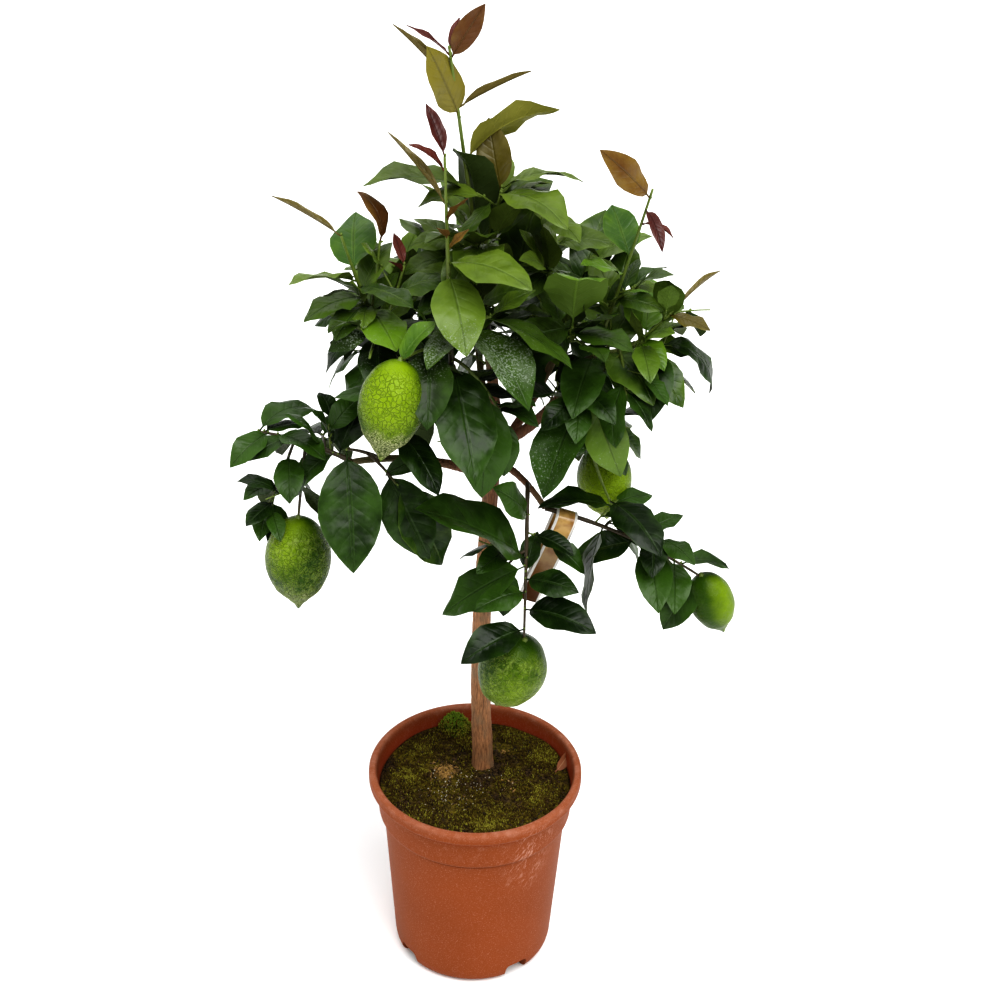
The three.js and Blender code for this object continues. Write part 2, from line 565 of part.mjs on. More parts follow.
// Largest piece of a body, without loose scraps and sealed hollows
function wholePiece(body) {
  const pieces = body.decompose().filter((piece) => piece.volume() > 0);
  return pieces.reduce((best, piece) => (piece.volume() > best.volume() ? piece : best));
}

// Form of every shoot, with its mass and the numbers for the leaves that it's dealt
function growShoots(limbs) {
  const shoots = {};
  for (const [mass, name, parent, place, tip, arch, radius, ...rule] of SHOOTS) {
    const { on, at } = MASSES[mass];
    const from = parent ? shoots[parent].form.curve.getPointAt(place) : limbs[on].curve.getPointAt(at);
    shoots[name] = { mass, rule, form: twigForm(from, vec(tip), arch, radius) };
  }
  return shoots;
}

// Twigs of each mass, joined into one thing
function twigsOf(shoots) {
  return Object.keys(MASSES).map((mass) => {
    const twigs = Object.values(shoots).filter((shoot) => shoot.mass === mass);
    return thing(wasm.Manifold.union(twigs.map(({ form }) => limb(form))), mass);
  });
}

function hangLemons(shoots, things) {
  for (const lemon of LEMONS) {
    const { mass, form } = shoots[lemon[0]];
    const item = thing(lemonSolid(lemon, form.curve.getPointAt(1)), mass);
    if (!clear(item, things)) throw new Error('lemon on ' + lemon[0] + ' touches its neighbour');
    things.push(item);
  }
}

// Adds a leaf unless it would touch another mass or a limb, or cross a blade if it's a dealt one
function addLeaf(crown, leaf, mass, dealt) {
  const item = thing(leafSolid(leaf), mass);
  const bare = thing(leafSolid(leaf, true));
  if (!clear(item, crown.things) || (dealt && !clear(bare, crown.blades))) return;
  crown.things.push(item);
  crown.blades.push(bare);
  crown.middles.push(midrib(leaf, 0.5).point);
}

function addSetLeaves(crown, shoots) {
  for (const [name, place, bearing, rise, length, tint, bend, roll] of SET_LEAVES) {
    const { mass, form } = shoots[name];
    const leaf = blade(form.curve.getPointAt(place), heading(bearing, rise), length, tint, bend, roll);
    addLeaf(crown, leaf, mass, false);
  }
}

// Adds the leaves that the rule deals out, where they keep to their space and to their spacing
function addDealtLeaves(crown, shoots) {
  const random = dealer(SEED);
  for (const { mass, form, rule: [count, upTo, length, tint] } of Object.values(shoots)) {
    for (const leaf of dealtLeaves(form, count, upTo, length, tint, random)) {
      const middle = midrib(leaf, 0.5).point;
      const inside = within(MASSES[mass], middle) && within(MASSES[mass], midrib(leaf, 1).point);
      const crowded = crown.middles.some((other) => other.distanceTo(middle) < SPACING);
      if (inside && !crowded) addLeaf(crown, leaf, mass, true);
    }
  }
}

// Solids of the masses of twigs, leaves and fruit, and of the label that hangs among them
function growCrown(limbs) {
  const grownLimbs = Object.values(limbs).map((form) => thing(limb(form, GAP)));
  const shoots = growShoots(limbs);
  const label = labelSolid(shoots[LABEL_SHOOT].form);
  const things = [...grownLimbs, ...twigsOf(shoots), thing(label)];
  const crown = { things, blades: [], middles: [] };
  hangLemons(shoots, things);
  addSetLeaves(crown, shoots);
  addDealtLeaves(crown, shoots);
  const cutter = wasm.Manifold.union(grownLimbs.map((item) => item.body));
  const masses = {};
  for (const mass of Object.keys(MASSES)) {
    const bodies = things.filter((item) => item.mass === mass).map((item) => item.body);
    masses[mass] = wholePiece(wasm.Manifold.union(bodies).subtract(cutter)).simplify(SMALL_EDGE);
  }
  return { masses, label };
}

// Turned wall from its outline, given as radius and height from the axis outwards and back
function turned(outline, sides) {
  const geometry = new THREE.LatheGeometry(outline.map(([r, z]) => new THREE.Vector2(r, z)), sides);
  geometry.rotateX(Math.PI / 2);
  return solid(geometry);
}

function box(width, depth, height, centre) {
  const geometry = new THREE.BoxGeometry(width, depth, height);
  geometry.translate(...centre);
  return geometry;
}

const SHOULDER_FOOT = POT_HEIGHT - SHOULDER_DROP;
const LIP_FOOT = POT_HEIGHT - LIP_DROP;
const POCKET = NOTCH_HEIGHT + WALL;

// Outer outline of the pot's side from the foot up to the lip's outer edge
function outerSide() {
  return [
    [FOOT_RADIUS - 8, 0],
    [FOOT_RADIUS - 2.5, 3],
    [FOOT_RADIUS, 10],
    [BODY_RADIUS, SHOULDER_FOOT - 5],
    [SHOULDER_RADIUS - 2, SHOULDER_FOOT],
    [SHOULDER_RADIUS, LIP_FOOT - 1],
    [RIM_RADIUS - 1.2, LIP_FOOT],
    [RIM_RADIUS, LIP_FOOT + 3],
    [RIM_RADIUS, POT_HEIGHT - 1.5],
    [RIM_RADIUS - 1.5, POT_HEIGHT],
  ];
}

// Inner outline of the wall, grown inwards by a clearance, from the lip down to the floor
function innerSide(clearance) {
  return [
    [RIM_RADIUS - RIM_WIDTH + 1 - clearance, POT_HEIGHT],
    [RIM_RADIUS - RIM_WIDTH - clearance, POT_HEIGHT - 1.5],
    [SHOULDER_RADIUS - WALL - clearance, LIP_FOOT - 4],
    [SHOULDER_RADIUS - 2 - WALL - clearance, SHOULDER_FOOT + 2],
    [BODY_RADIUS - WALL - clearance, SHOULDER_FOOT - 5],
    [FOOT_RADIUS - WALL - clearance, 12],
    [FOOT_RADIUS - 9 - clearance, FLOOR + clearance],
  ];
}

// Boxes at the foot's drainage notches, each larger all round by a margin
function notchBoxes(margin) {
  const depth = RIM_RADIUS - NOTCH_START + margin;
  return Array.from({ length: NOTCHES }, (_, i) => {
    const notch = box(depth, NOTCH_WIDTH + 2 * margin, NOTCH_HEIGHT + 1 + margin,
      [NOTCH_START - margin + depth / 2, 0, (NOTCH_HEIGHT - 1 + margin) / 2]);
    return solid(notch.rotateZ(rad(NOTCH_TURN + 360 * i / NOTCHES)));
  });
}

function potSolid() {
  const shell = turned([[0, 0], ...outerSide(), ...innerSide(0), [0, FLOOR]], POT_SIDES);
  const inside = turned([[0, 0], ...outerSide(), [0, POT_HEIGHT]], POT_SIDES);
  const pockets = wasm.Manifold.union(notchBoxes(WALL)).intersect(inside);
  const raised = pockets.intersect(solid(box(400, 400, POCKET, [0, 0, POCKET / 2])));
  return shell.add(raised).subtract(wasm.Manifold.union(notchBoxes(0)));
}

// Height of the soil's top, mounded and hollowed, and level round the trunk
function soilTop(x, y) {
  const away = Math.hypot(x - TRUNK_FOOT[0], y - TRUNK_FOOT[1]);
  const level = THREE.MathUtils.smoothstep(away, LEVEL_RADIUS, 2 * LEVEL_RADIUS);
  const [long, broad, short] = SOIL_WAVES;
  const waves = Math.sin(x / long + 1) * Math.cos(y / broad) + 0.6 * Math.sin((x - y) / short);
  return SOIL_LEVEL + level * (SOIL_MOUND * waves - SOIL_DISH * (away / RIM_RADIUS) ** 2);
}

// Soil that fills the pot, clear of the wall, the notches' pockets and the trunk's foot
function soilSolid(grownTrunk) {
  const side = innerSide(GAP).filter(([, z]) => z < SOIL_LEVEL - 12).reverse();
  const wall = side.map(([radius, z]) => ({ radius, z }));
  const edge = SHOULDER_RADIUS - WALL - 1 - GAP;
  const ringAt = (radius, heightAt) => Array.from({ length: POT_SIDES }, (_, i) => {
    const angle = 2 * Math.PI * i / POT_SIDES;
    const x = radius * Math.cos(angle);
    const y = radius * Math.sin(angle);
    return new THREE.Vector3(x, y, heightAt(x, y));
  });
  const rings = wall.map(({ radius, z }) => ringAt(radius, () => z));
  for (let ring = SOIL_RINGS; ring > 0; ring--) rings.push(ringAt(edge * ring / SOIL_RINGS, soilTop));
  const earth = solid(skin(rings, new THREE.Vector3(0, 0, soilTop(0, 0))));
  return earth.subtract(wasm.Manifold.union([...notchBoxes(WALL + GAP), grownTrunk]));
}

// Outline of the strip's loop, seen along the shoot that it hangs on, grown outwards by its card
function loopShape(grow) {
  const spread = LABEL_SPREAD + grow;
  const join = -LABEL_LENGTH * LABEL_JOIN;
  const shape = new THREE.Shape();
  shape.moveTo(-spread, 0);
  shape.absarc(0, 0, spread, Math.PI, 0, true);
  shape.quadraticCurveTo(spread, join / 2, LABEL_CARD * (grow ? 1 : 0.2), join);
  if (grow) {
    shape.lineTo(LABEL_CARD, -LABEL_LENGTH);
    shape.lineTo(-LABEL_CARD, -LABEL_LENGTH);
  }
  shape.lineTo(-LABEL_CARD * (grow ? 1 : 0.2), join);
  shape.quadraticCurveTo(-spread, join / 2, -spread, 0);
  return shape;
}

function labelSolid(form) {
  const along = form.curve.getTangentAt(LABEL_PLACE);
  const up = square(UP, along);
  const seat = form.curve.getPointAt(LABEL_PLACE)
    .addScaledVector(up, form.radiusAt(LABEL_PLACE) + GAP - LABEL_SPREAD);
  const place = new THREE.Matrix4().makeBasis(up.clone().cross(along), up, along).setPosition(seat);
  const [card, hollow] = [LABEL_CARD, 0].map((grow) => {
    const depth = grow ? LABEL_WIDTH : 2 * LABEL_WIDTH;
    const sizes = { depth, bevelEnabled: false, curveSegments: 4 };
    const geometry = new THREE.ExtrudeGeometry(loopShape(grow), sizes);
    return solid(geometry.translate(0, 0, -depth / 2).applyMatrix4(place));
  });
  return card.subtract(hollow);
}

// Named mesh of a closed solid, with a material of its own
function named(name, body, [color, roughness]) {
  const material = new THREE.MeshStandardMaterial({ color, roughness, metalness: 0 });
  const mesh = new THREE.Mesh(geometryOf(body), material);
  mesh.name = name;
  return mesh;
}

const trunk = trunkForm();
const grownTrunk = limb(trunk, GAP);
const limbs = { trunk };
for (const [name, sizes] of Object.entries(BOUGHS)) limbs[name] = boughForm(sizes, trunk);
const { masses, label } = growCrown(limbs);

const tree = new THREE.Group();
tree.name = 'potted_lemon_tree';
tree.add(named('pot', potSolid(), LOOKS.pot));
tree.add(named('soil', soilSolid(grownTrunk), LOOKS.soil));
tree.add(named('trunk', limb(trunk), LOOKS.trunk));
for (const name of Object.keys(BOUGHS)) {
  tree.add(named(name, limb(limbs[name]).subtract(grownTrunk), LOOKS.bough));
}
for (const [name, body] of Object.entries(masses)) tree.add(named(name, body, LOOKS.crown));
tree.add(named('loop_label', label, LOOKS.label));

export default tree;
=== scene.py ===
"""Potted standard lemon tree: the looks of every piece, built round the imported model.

Metres, +Z up, -Y is the front, and the origin is the centre of the pot's flat underside. The tables of
growth are in millimetres and degrees, and the growing code turns them into metres. Each operator builds
one piece or a few like pieces, and the panel lists them in the order in which they are built.
"""
import math

import bmesh
import bpy
import numpy as np
from bpy.props import FloatProperty, FloatVectorProperty, IntProperty, PointerProperty
from mathutils import Matrix, Quaternion, Vector, noise
from mathutils.bvhtree import BVHTree


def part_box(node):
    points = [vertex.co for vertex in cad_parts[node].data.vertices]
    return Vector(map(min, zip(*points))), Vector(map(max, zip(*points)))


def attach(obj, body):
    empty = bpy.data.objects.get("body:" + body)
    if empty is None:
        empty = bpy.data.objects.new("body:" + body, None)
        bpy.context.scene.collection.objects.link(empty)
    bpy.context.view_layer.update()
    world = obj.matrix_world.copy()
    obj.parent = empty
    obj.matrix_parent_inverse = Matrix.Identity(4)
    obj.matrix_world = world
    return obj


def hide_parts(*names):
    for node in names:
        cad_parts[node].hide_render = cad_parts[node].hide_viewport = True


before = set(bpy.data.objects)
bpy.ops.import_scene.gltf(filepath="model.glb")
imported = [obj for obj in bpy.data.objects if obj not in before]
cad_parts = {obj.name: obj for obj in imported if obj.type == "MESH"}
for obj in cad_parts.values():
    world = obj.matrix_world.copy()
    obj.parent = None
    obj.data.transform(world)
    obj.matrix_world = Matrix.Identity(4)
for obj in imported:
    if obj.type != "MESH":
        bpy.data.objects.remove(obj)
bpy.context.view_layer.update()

bl_info = {
    "name": "Potted Lemon Tree",
    "version": (1, 0, 0),
    "blender": (4, 5, 0),
    "location": "3D View > Sidebar > Lemon Tree",
    "description": "Builds a potted standard lemon tree round its packed model",
    "category": "Object",
}

MM = 0.001
UP = Vector((0, 0, 1))
# The solids were grown from this seed, and everything random here starts from it too
SEED = 24

# Boughs: the trunk height that each leaves from, its tip, how far its middle arches up, its radius
# where it leaves and at its tip
BOUGHS = {
    "bough_leader": (560, (5, 15, 655), 0, (6.2, 3.6)),
    "bough_right": (547, (86, 10, 636), -16, (5.2, 3.2)),
    "bough_upper_left": (528, (-81, -10, 657), -10, (5, 3.2)),
    "bough_front": (544, (-25, -50, 661), -12, (4.4, 3)),
    "bough_low_left": (512, (-107, -45, 565), 10, (4.6, 2.8)),
    "bough_low_right": (530, (56, -25, 510), 8, (3.6, 2.6)),
    "bough_back_left": (498, (-62, 95, 610), -10, (4.6, 3)),
    "bough_back_right": (536, (76, 95, 626), -12, (4.6, 3)),
    "bough_back": (519, (-5, 120, 600), -8, (4.4, 3)),
}

# Masses: the bough that carries each, where on it the stem starts, and the middle and half sizes of
# the space that the mass keeps to
MASSES = {
    "crown_top": ("bough_leader", 1, (-10, 15, 790), (115, 115, 165)),
    "crown_front": ("bough_front", 1, (-25, -75, 700), (110, 110, 175)),
    "crown_upper_left": ("bough_upper_left", 1, (-100, -20, 705), (78, 110, 95)),
    "crown_upper_right": ("bough_right", 0.78, (50, -5, 690), (90, 110, 88)),
    "crown_right": ("bough_right", 1, (140, 0, 680), (85, 100, 170)),
    "crown_low_left": ("bough_low_left", 1, (-130, -40, 545), (115, 120, 125)),
    "crown_low_inner": ("bough_low_left", 0.82, (-75, -75, 530), (70, 95, 90)),
    "crown_low_front": ("bough_low_right", 0.62, (35, -75, 450), (110, 85, 130)),
    "crown_low_right": ("bough_low_right", 1, (150, -25, 460), (110, 95, 100)),
    "crown_hanging": ("bough_right", 0.52, (85, -20, 570), (75, 125, 110)),
    "crown_back_left": ("bough_back_left", 1, (-70, 105, 615), (86, 105, 135)),
    "crown_back_right": ("bough_back_right", 1, (80, 100, 625), (90, 105, 135)),
    "crown_back": ("bough_back", 1, (0, 140, 610), (100, 95, 150)),
}

# Shoots of each mass: name, shoot it leaves from ("" is the mass's own stem), place on that, tip, arch,
# radius at its foot, leaves dealt out by the rule, last place of such a leaf, their length, tint
SHOOTS = {
    "crown_top": [
        ("leader", "", 0, (-30, 0, 912), 0, 2.4, 5, 0.36, 76, "mid"),
        ("leader_right", "leader", 0.28, (13, 6, 792), -6, 1.6, 4, 0.9, 75, "mid"),
        ("leader_left", "leader", 0.22, (-32, 24, 724), 4, 1.5, 5, 1, 56, "mid"),
        ("leader_back", "leader", 0.16, (-4, 78, 740), 6, 1.6, 9, 1, 68, "mid"),
        ("leader_low", "leader", 0.05, (46, 48, 700), 6, 1.6, 8, 1, 82, "mid"),
    ],
    "crown_front": [
        ("maroon", "", 0, (-32, -40, 838), -4, 2.2, 4, 0.34, 75, "mid"),
        ("front_right", "maroon", 0.1, (6, -62, 712), 4, 1.6, 4, 1, 80, "deep"),
        ("front_fruit", "maroon", 0.06, (-65, -100, 689), 8, 1.6, 3, 0.8, 70, "deep"),
        ("front_low", "maroon", 0.01, (-72, -76, 606), 6, 1.5, 5, 1, 80, "deep"),
        ("front_inner", "maroon", 0.04, (18, -48, 612), 8, 1.5, 8, 1, 84, "deep"),
    ],
    "crown_upper_left": [
        ("left_top", "", 0, (-114, -25, 762), -4, 2.2, 4, 0.5, 48, "mid"),
        ("left_curl", "left_top", 0.3, (-84, -12, 752), -4, 1.3, 1, 0.5, 50, "mid"),
        ("left_maroon", "left_top", 0.12, (-64, -26, 738), -6, 1.2, 3, 0.7, 50, "mid"),
        ("left_out", "left_top", 0.2, (-104, 14, 694), 5, 1.4, 7, 1, 46, "deep"),
        ("left_front", "left_top", 0.1, (-90, -72, 678), 5, 1.4, 4, 1, 54, "deep"),
    ],
    "crown_upper_right": [
        ("right_crown", "", 0, (46, 12, 762), 4, 2, 9, 0.85, 62, "mid"),
        ("right_front", "right_crown", 0.2, (72, -45, 696), 4, 1.6, 5, 0.8, 74, "deep"),
        ("right_inner", "right_crown", 0.35, (22, -30, 738), 4, 1.5, 8, 1, 75, "mid"),
    ],
    "crown_right": [
        ("right_out", "", 0, (150, 0, 650), 6, 2.2, 7, 0.9, 58, "mid"),
        ("right_shoot", "right_out", 0.12, (134, 10, 792), -4, 1.7, 3, 0.4, 48, "mid"),
        ("right_back", "right_out", 0.3, (116, 56, 676), 4, 1.5, 7, 1, 54, "mid"),
        ("right_mid", "right_out", 0.55, (161, 3, 692), -2, 1.4, 4, 1, 50, "bright"),
        ("right_end", "right_out", 0.8, (166, 4, 652), 4, 1.2, 3, 0.9, 50, "mid"),
        ("right_low", "right_out", 0.45, (118, -45, 634), 8, 1.4, 6, 1, 52, "deep"),
    ],
    "crown_low_left": [
        ("low_out", "", 0, (-187, -20, 578), 4, 2.2, 5, 0.9, 52, "deep"),
        ("low_back", "low_out", 0.3, (-138, 28, 546), 5, 1.4, 6, 1, 48, "deep"),
        ("low_drop", "low_out", 0.62, (-180, -30, 512), -2, 1.3, 5, 1, 48, "deep"),
        ("low_fruit", "low_out", 0.5, (-153, -56, 513), 4, 1.6, 2, 0.7, 50, "deep"),
    ],
    "crown_low_inner": [
        ("low_broad", "", 0, (-110, -70, 592), 2, 1.9, 2, 1, 80, "deep"),
        ("low_under", "low_broad", 0.4, (-70, -64, 556), 2, 1.5, 3, 1, 80, "deep"),
    ],
    "crown_low_front": [
        ("drop", "", 0, (40, -77, 406), 42, 2.1, 2, 0.95, 56, "deep"),
        ("drop_left", "drop", 0.45, (20, -52, 462), 3, 1.3, 2, 1, 52, "deep"),
    ],
    "crown_low_right": [
        ("reach", "", 0, (196, -20, 438), 8, 2.1, 4, 0.95, 56, "deep"),
        ("reach_back", "reach", 0.35, (126, 36, 458), 5, 1.4, 6, 1, 64, "deep"),
        ("reach_up", "reach", 0.45, (156, -25, 480), 4, 1.3, 3, 1, 40, "deep"),
    ],
    "crown_hanging": [
        ("hang", "", 0, (91, -30, 624), 6, 1.9, 6, 1, 62, "deep"),
        ("hang_fruit", "hang", 0.45, (105, 14, 546), 8, 1.5, 2, 0.8, 60, "mid"),
        ("hang_out", "hang", 0.7, (114, -20, 510), -10, 1.4, 1, 0.7, 60, "deep"),
    ],
    "crown_back_left": [
        ("back_left_up", "", 0, (-78, 98, 655), 4, 2.2, 10, 1, 60, "mid"),
        ("back_left_out", "back_left_up", 0.1, (-122, 88, 632), 8, 1.7, 10, 1, 76, "deep"),
        ("back_left_low", "back_left_up", 0.04, (-96, 132, 566), 10, 1.6, 9, 1, 84, "deep"),
        ("back_left_in", "back_left_up", 0.3, (-36, 112, 662), 4, 1.5, 8, 1, 62, "deep"),
        ("back_left_drop", "back_left_up", 0.03, (-62, 118, 545), 12, 1.5, 9, 1, 84, "deep"),
    ],
    "crown_back_right": [
        ("back_right_up", "", 0, (84, 88, 674), 4, 2.2, 10, 1, 68, "mid"),
        ("back_right_out", "back_right_up", 0.1, (130, 90, 644), 8, 1.7, 10, 1, 76, "deep"),
        ("back_right_low", "back_right_up", 0.04, (108, 134, 578), 10, 1.6, 9, 1, 84, "deep"),
        ("back_right_in", "back_right_up", 0.3, (40, 108, 680), 4, 1.5, 8, 1, 64, "deep"),
        ("back_right_drop", "back_right_up", 0.03, (66, 118, 556), 12, 1.5, 9, 1, 84, "deep"),
    ],
    "crown_back": [
        ("back_up", "", 0, (-5, 140, 680), 6, 2.2, 11, 1, 74, "mid"),
        ("back_low", "back_up", 0.05, (4, 172, 540), 12, 1.7, 10, 1, 86, "deep"),
        ("back_side", "back_up", 0.2, (50, 168, 632), 6, 1.5, 8, 1, 78, "deep"),
        ("back_other", "back_up", 0.15, (-52, 166, 618), 6, 1.5, 8, 1, 78, "deep"),
    ],
}

# Leaves set one by one on a shoot: place on it, bearing and rise, length, tint, bend and roll
SET_LEAVES = [
    ("leader", [
        (0.96, 17, 57, 50, "bronze", 10, 55), (0.99, 70, 42, 28, "maroon", 10, 0),
        (0.97, 181, 35, 42, "maroon", 20, 0), (0.86, 160, 41, 70, "sliver", 10, 0),
        (0.8, 352, 31, 68, "sliver", 10, 0), (0.77, 205, 66, 68, "olive", 15, -75),
        (0.62, 12, 27, 86, "olive", 60, -50), (0.52, 195, 8, 88, "deep", 50, 0),
        (0.4, 240, 68, 82, "deep", 70, 0),
    ]),
    ("leader_right", [
        (0.95, 115, 64, 60, "olive", 20, -30), (1, 4, 4, 66, "mid", 60, -12),
        (0.9, 310, 0, 82, "mid", 60, 0),
    ]),
    ("maroon", [
        (1, 123, 50, 44, "maroon", 10, 0), (0.93, 179, 37, 36, "maroon", 40, 0),
        (0.78, 154, 44, 72, "sliver", 8, 0), (0.7, 320, 50, 34, "bronze", 20, 0),
        (0.62, 250, 40, 26, "bronze", 20, 0), (0.56, 20, 42, 24, "bronze", 20, 0),
        (0.5, 322, 2, 84, "mid", 45, 0), (0.45, 283, -28, 80, "mid", 40, 0),
        (0.02, 285, -40, 108, "deep", 25, 0),
    ]),
    ("front_right", [
        (1, 20, 25, 42, "mid", 30, 0), (0.5, 309, -28, 88, "deep", 50, 0),
        (0.5, 240, -8, 64, "deep", 40, 0),
    ]),
    ("front_inner", [
        (1, 275, -72, 50, "deep", 40, 0), (0.92, 317, 28, 44, "deep", 40, 0),
        (0.8, 331, -14, 42, "deep", 40, 0),
    ]),
    ("front_fruit", [(1, 28, 42, 44, "bright", 30, 0)]),
    ("front_low", [(0.9, 312, -36, 64, "deep", 40, 0)]),
    ("left_top", [
        (1, 160, 22, 66, "sliver", 10, 0), (0.68, 92, 18, 72, "bright", 25, -20),
        (0.6, 222, 15, 72, "mid", 30, 20), (0.45, 219, -4, 60, "deep", 50, 0),
        (0.38, 245, -8, 55, "deep", 50, 0), (0.55, 315, 4, 64, "mid", 30, 0),
        (0.35, 292, -5, 68, "bright", 30, 0),
    ]),
    ("left_front", [(0.2, 272, -22, 64, "deep", 30, 0)]),
    ("left_curl", [(1, 150, 60, 44, "bronze", 100, 0)]),
    ("left_maroon", [(1, 110, 30, 32, "maroon", 10, 0), (0.92, 240, 40, 26, "maroon", 10, 0)]),
    ("right_crown", [(1, 305, 0, 52, "mid", 60, 0), (0.85, 20, -20, 50, "mid", 50, 0)]),
    ("right_front", [(0.85, 209, -2, 62, "deep", 40, -35), (1, 271, 50, 90, "bright", 70, 0)]),
    ("right_shoot", [
        (0.5, 212, 24, 48, "bright", 30, 0), (0.6, 105, 25, 58, "bright", 10, 0),
        (0.95, 200, 46, 66, "bronze", 20, -60), (0.88, 290, -30, 42, "maroon", 60, 0),
        (0.8, 330, -10, 30, "maroon", 60, 0),
    ]),
    ("right_mid", [
        (0.35, 85, 18, 68, "bright", 20, 0), (0.8, 320, 0, 42, "olive", 20, 0),
        (1, 45, 16, 54, "sliver", 20, 0),
    ]),
    ("right_end", [(0.4, 356, -46, 62, "deep", 120, 0)]),
    ("right_out", [
        (0.9, 265, -35, 66, "deep", 60, 0), (0.3, 300, -12, 74, "mid", 60, 0),
        (0.12, 255, -16, 76, "deep", 40, 0),
    ]),
    ("hang", [(0.85, 237, -50, 94, "deep", 25, 0), (1, 324, -64, 74, "mid", 30, 55)]),
    ("hang_out", [(0.95, 305, -14, 74, "deep", 50, 0), (1, 195, 6, 68, "deep", 40, 0)]),
    ("low_out", [
        (1, 40, -2, 60, "deep", 90, 0), (0.95, 37, -8, 42, "deep", 40, 0),
        (0.9, 227, -20, 46, "deep", 60, -20), (0.8, 321, -4, 55, "deep", 50, 0),
        (0.15, 58, 38, 54, "deep", 40, 0),
    ]),
    ("low_drop", [
        (0.25, 275, -22, 50, "deep", 40, 0), (0.7, 230, 5, 40, "deep", 40, 0),
        (1, 262, -20, 40, "deep", 40, 0),
    ]),
    ("low_broad", [(1, 278, -58, 102, "deep", 25, 0)]),
    ("low_under", [(0.6, 329, -59, 85, "deep", 25, 45), (1, 9, -65, 93, "mid", 25, 60)]),
    ("drop", [
        (0.25, 223, 47, 60, "deep", 30, -55), (0.5, 204, 36, 127, "deep", 25, -20),
        (0.54, 181, -36, 88, "deep", 25, -30), (0.58, 70, 40, 38, "deep", 30, 0),
        (0.62, 330, 5, 52, "deep", 40, 20), (0.7, 211, -3, 51, "deep", 60, -20),
        (0.8, 333, -2, 68, "deep", 50, 20), (0.92, 212, -12, 65, "deep", 50, -20),
    ]),
    ("reach", [
        (0.34, 256, -43, 78, "deep", 20, 60), (0.55, 180, -20, 58, "mid", 30, -35),
        (0.62, 278, -28, 66, "deep", 30, 0),
    ]),
    ("reach_up", [(0.85, 265, -18, 46, "deep", 50, 0), (1, 310, -5, 44, "deep", 50, 0)]),
    ("reach", [(0.8, 268, -20, 58, "deep", 30, 0), (1, 197, -56, 60, "deep", 40, -30)]),
]

# Lemons: the shoot whose tip each hangs from, bearing and rise of its axis, length, radius
LEMONS = [
    ("front_fruit", 230, -74, 86, 26.5),
    ("low_fruit", 260, -84, 88, 28),
    ("drop", 155, -72, 84, 29.5),
    ("reach", 0, -68, 66, 20),
    ("hang_fruit", 20, -84, 76, 24),
]

# Leaf forms: half width of a blade as a share of its length, and its fold
FORMS = {
    "deep": (0.27, 14),
    "mid": (0.27, 12),
    "bright": (0.29, 12),
    "olive": (0.25, 14),
    "bronze": (0.21, 16),
    "maroon": (0.17, 25),
    "sliver": (0.1, 60),
}

# Trunk, from the soil to the fork, its radii at both ends, and the gap that the solids leave between two
# pieces
TRUNK = [(7, 24, 190.35), (3, 20, 330), (8, 20, 480), (13, 20, 560)]
TRUNK_RADII = (9.8, 6.6)
GAP = 0.35

# Rule for the leaves that are dealt out along a shoot: turn from one to the next, place of the first, angle
# off the shoot at its foot and tip, droop, and how far turn, length, bend and roll vary
GOLDEN_TURN = 137.5
FIRST_LEAF = 0.12
LEAF_SPREAD = (72, 28)
DROOP = 0.28
TURN_SPREAD = 30
SIZE_SPREAD = (0.78, 1.12)
BEND_SPREAD = (20, 70)
ROLL_SPREAD = 50
# Radius of a shoot's tip, and the length below which a leaf of the solids is shaped more simply
TWIG_TIP = 1
SHORT_LEAF = 66

# Outline of a lemon from stalk to nipple: place along it, and share of its radius
LEMON_OUTLINE = [
    (0, 0), (0.03, 0.34), (0.14, 0.72), (0.32, 0.97), (0.52, 0.98),
    (0.72, 0.74), (0.86, 0.36), (0.94, 0.17), (1, 0),
]
# How far a lemon's foot is sunk into its shoot
LEMON_SINK = 3


# Sizes and colours

class LeafSizes(bpy.types.PropertyGroup):
    """Shape of the leaves, and how much fine growth fills the crown"""
    rib: FloatProperty(name="Rib thickness", description="Thickness of a leaf along its midrib",
                       default=0.0007, min=0.0003, unit="LENGTH")
    stalk: FloatProperty(name="Stalk thickness", description="Thickness of a leaf's stalk", default=0.0017,
                         min=0.0005, unit="LENGTH")
    ripple: FloatProperty(name="Ripple",
                          description="Height of a margin's waves, as a share of the half width",
                          default=0.16, min=0, subtype="FACTOR")
    fine_step: FloatProperty(name="Fine twig spacing",
                             description="Distance along a shoot between its fine twigs", default=0.021,
                             min=0.01, unit="LENGTH")
    fine_leaf: FloatProperty(name="Fine leaf share",
                             description="Length of a fine twig's leaves, as a share of the shoot's",
                             default=0.72, min=0.3, max=1, subtype="FACTOR")
    fine_count: IntProperty(name="Leaves on a fine twig",
                            description="Leaves that the rule deals to a fine twig", default=5, min=1,
                            max=9)


class PotSizes(bpy.types.PropertyGroup):
    """Shape and colours of the pot"""
    rim: FloatProperty(name="Rim radius", description="Outer radius of the lip", default=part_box("pot")[1].x,
                       unit="LENGTH")
    height: FloatProperty(name="Height", description="Height of the pot", default=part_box("pot")[1].z,
                          unit="LENGTH")
    wall: FloatProperty(name="Wall", description="Thickness of the wall", default=0.002, unit="LENGTH")
    plastic: FloatVectorProperty(name="Plastic", description="Colour of the plastic", subtype="COLOR",
                                 default=(0.25, 0.068, 0.02))
    # Also the colour of the painted highlight along the lip
    scuff: FloatVectorProperty(name="Scuffs", description="Colour of rubbed and dusty places",
                               subtype="COLOR", default=(0.62, 0.38, 0.3))


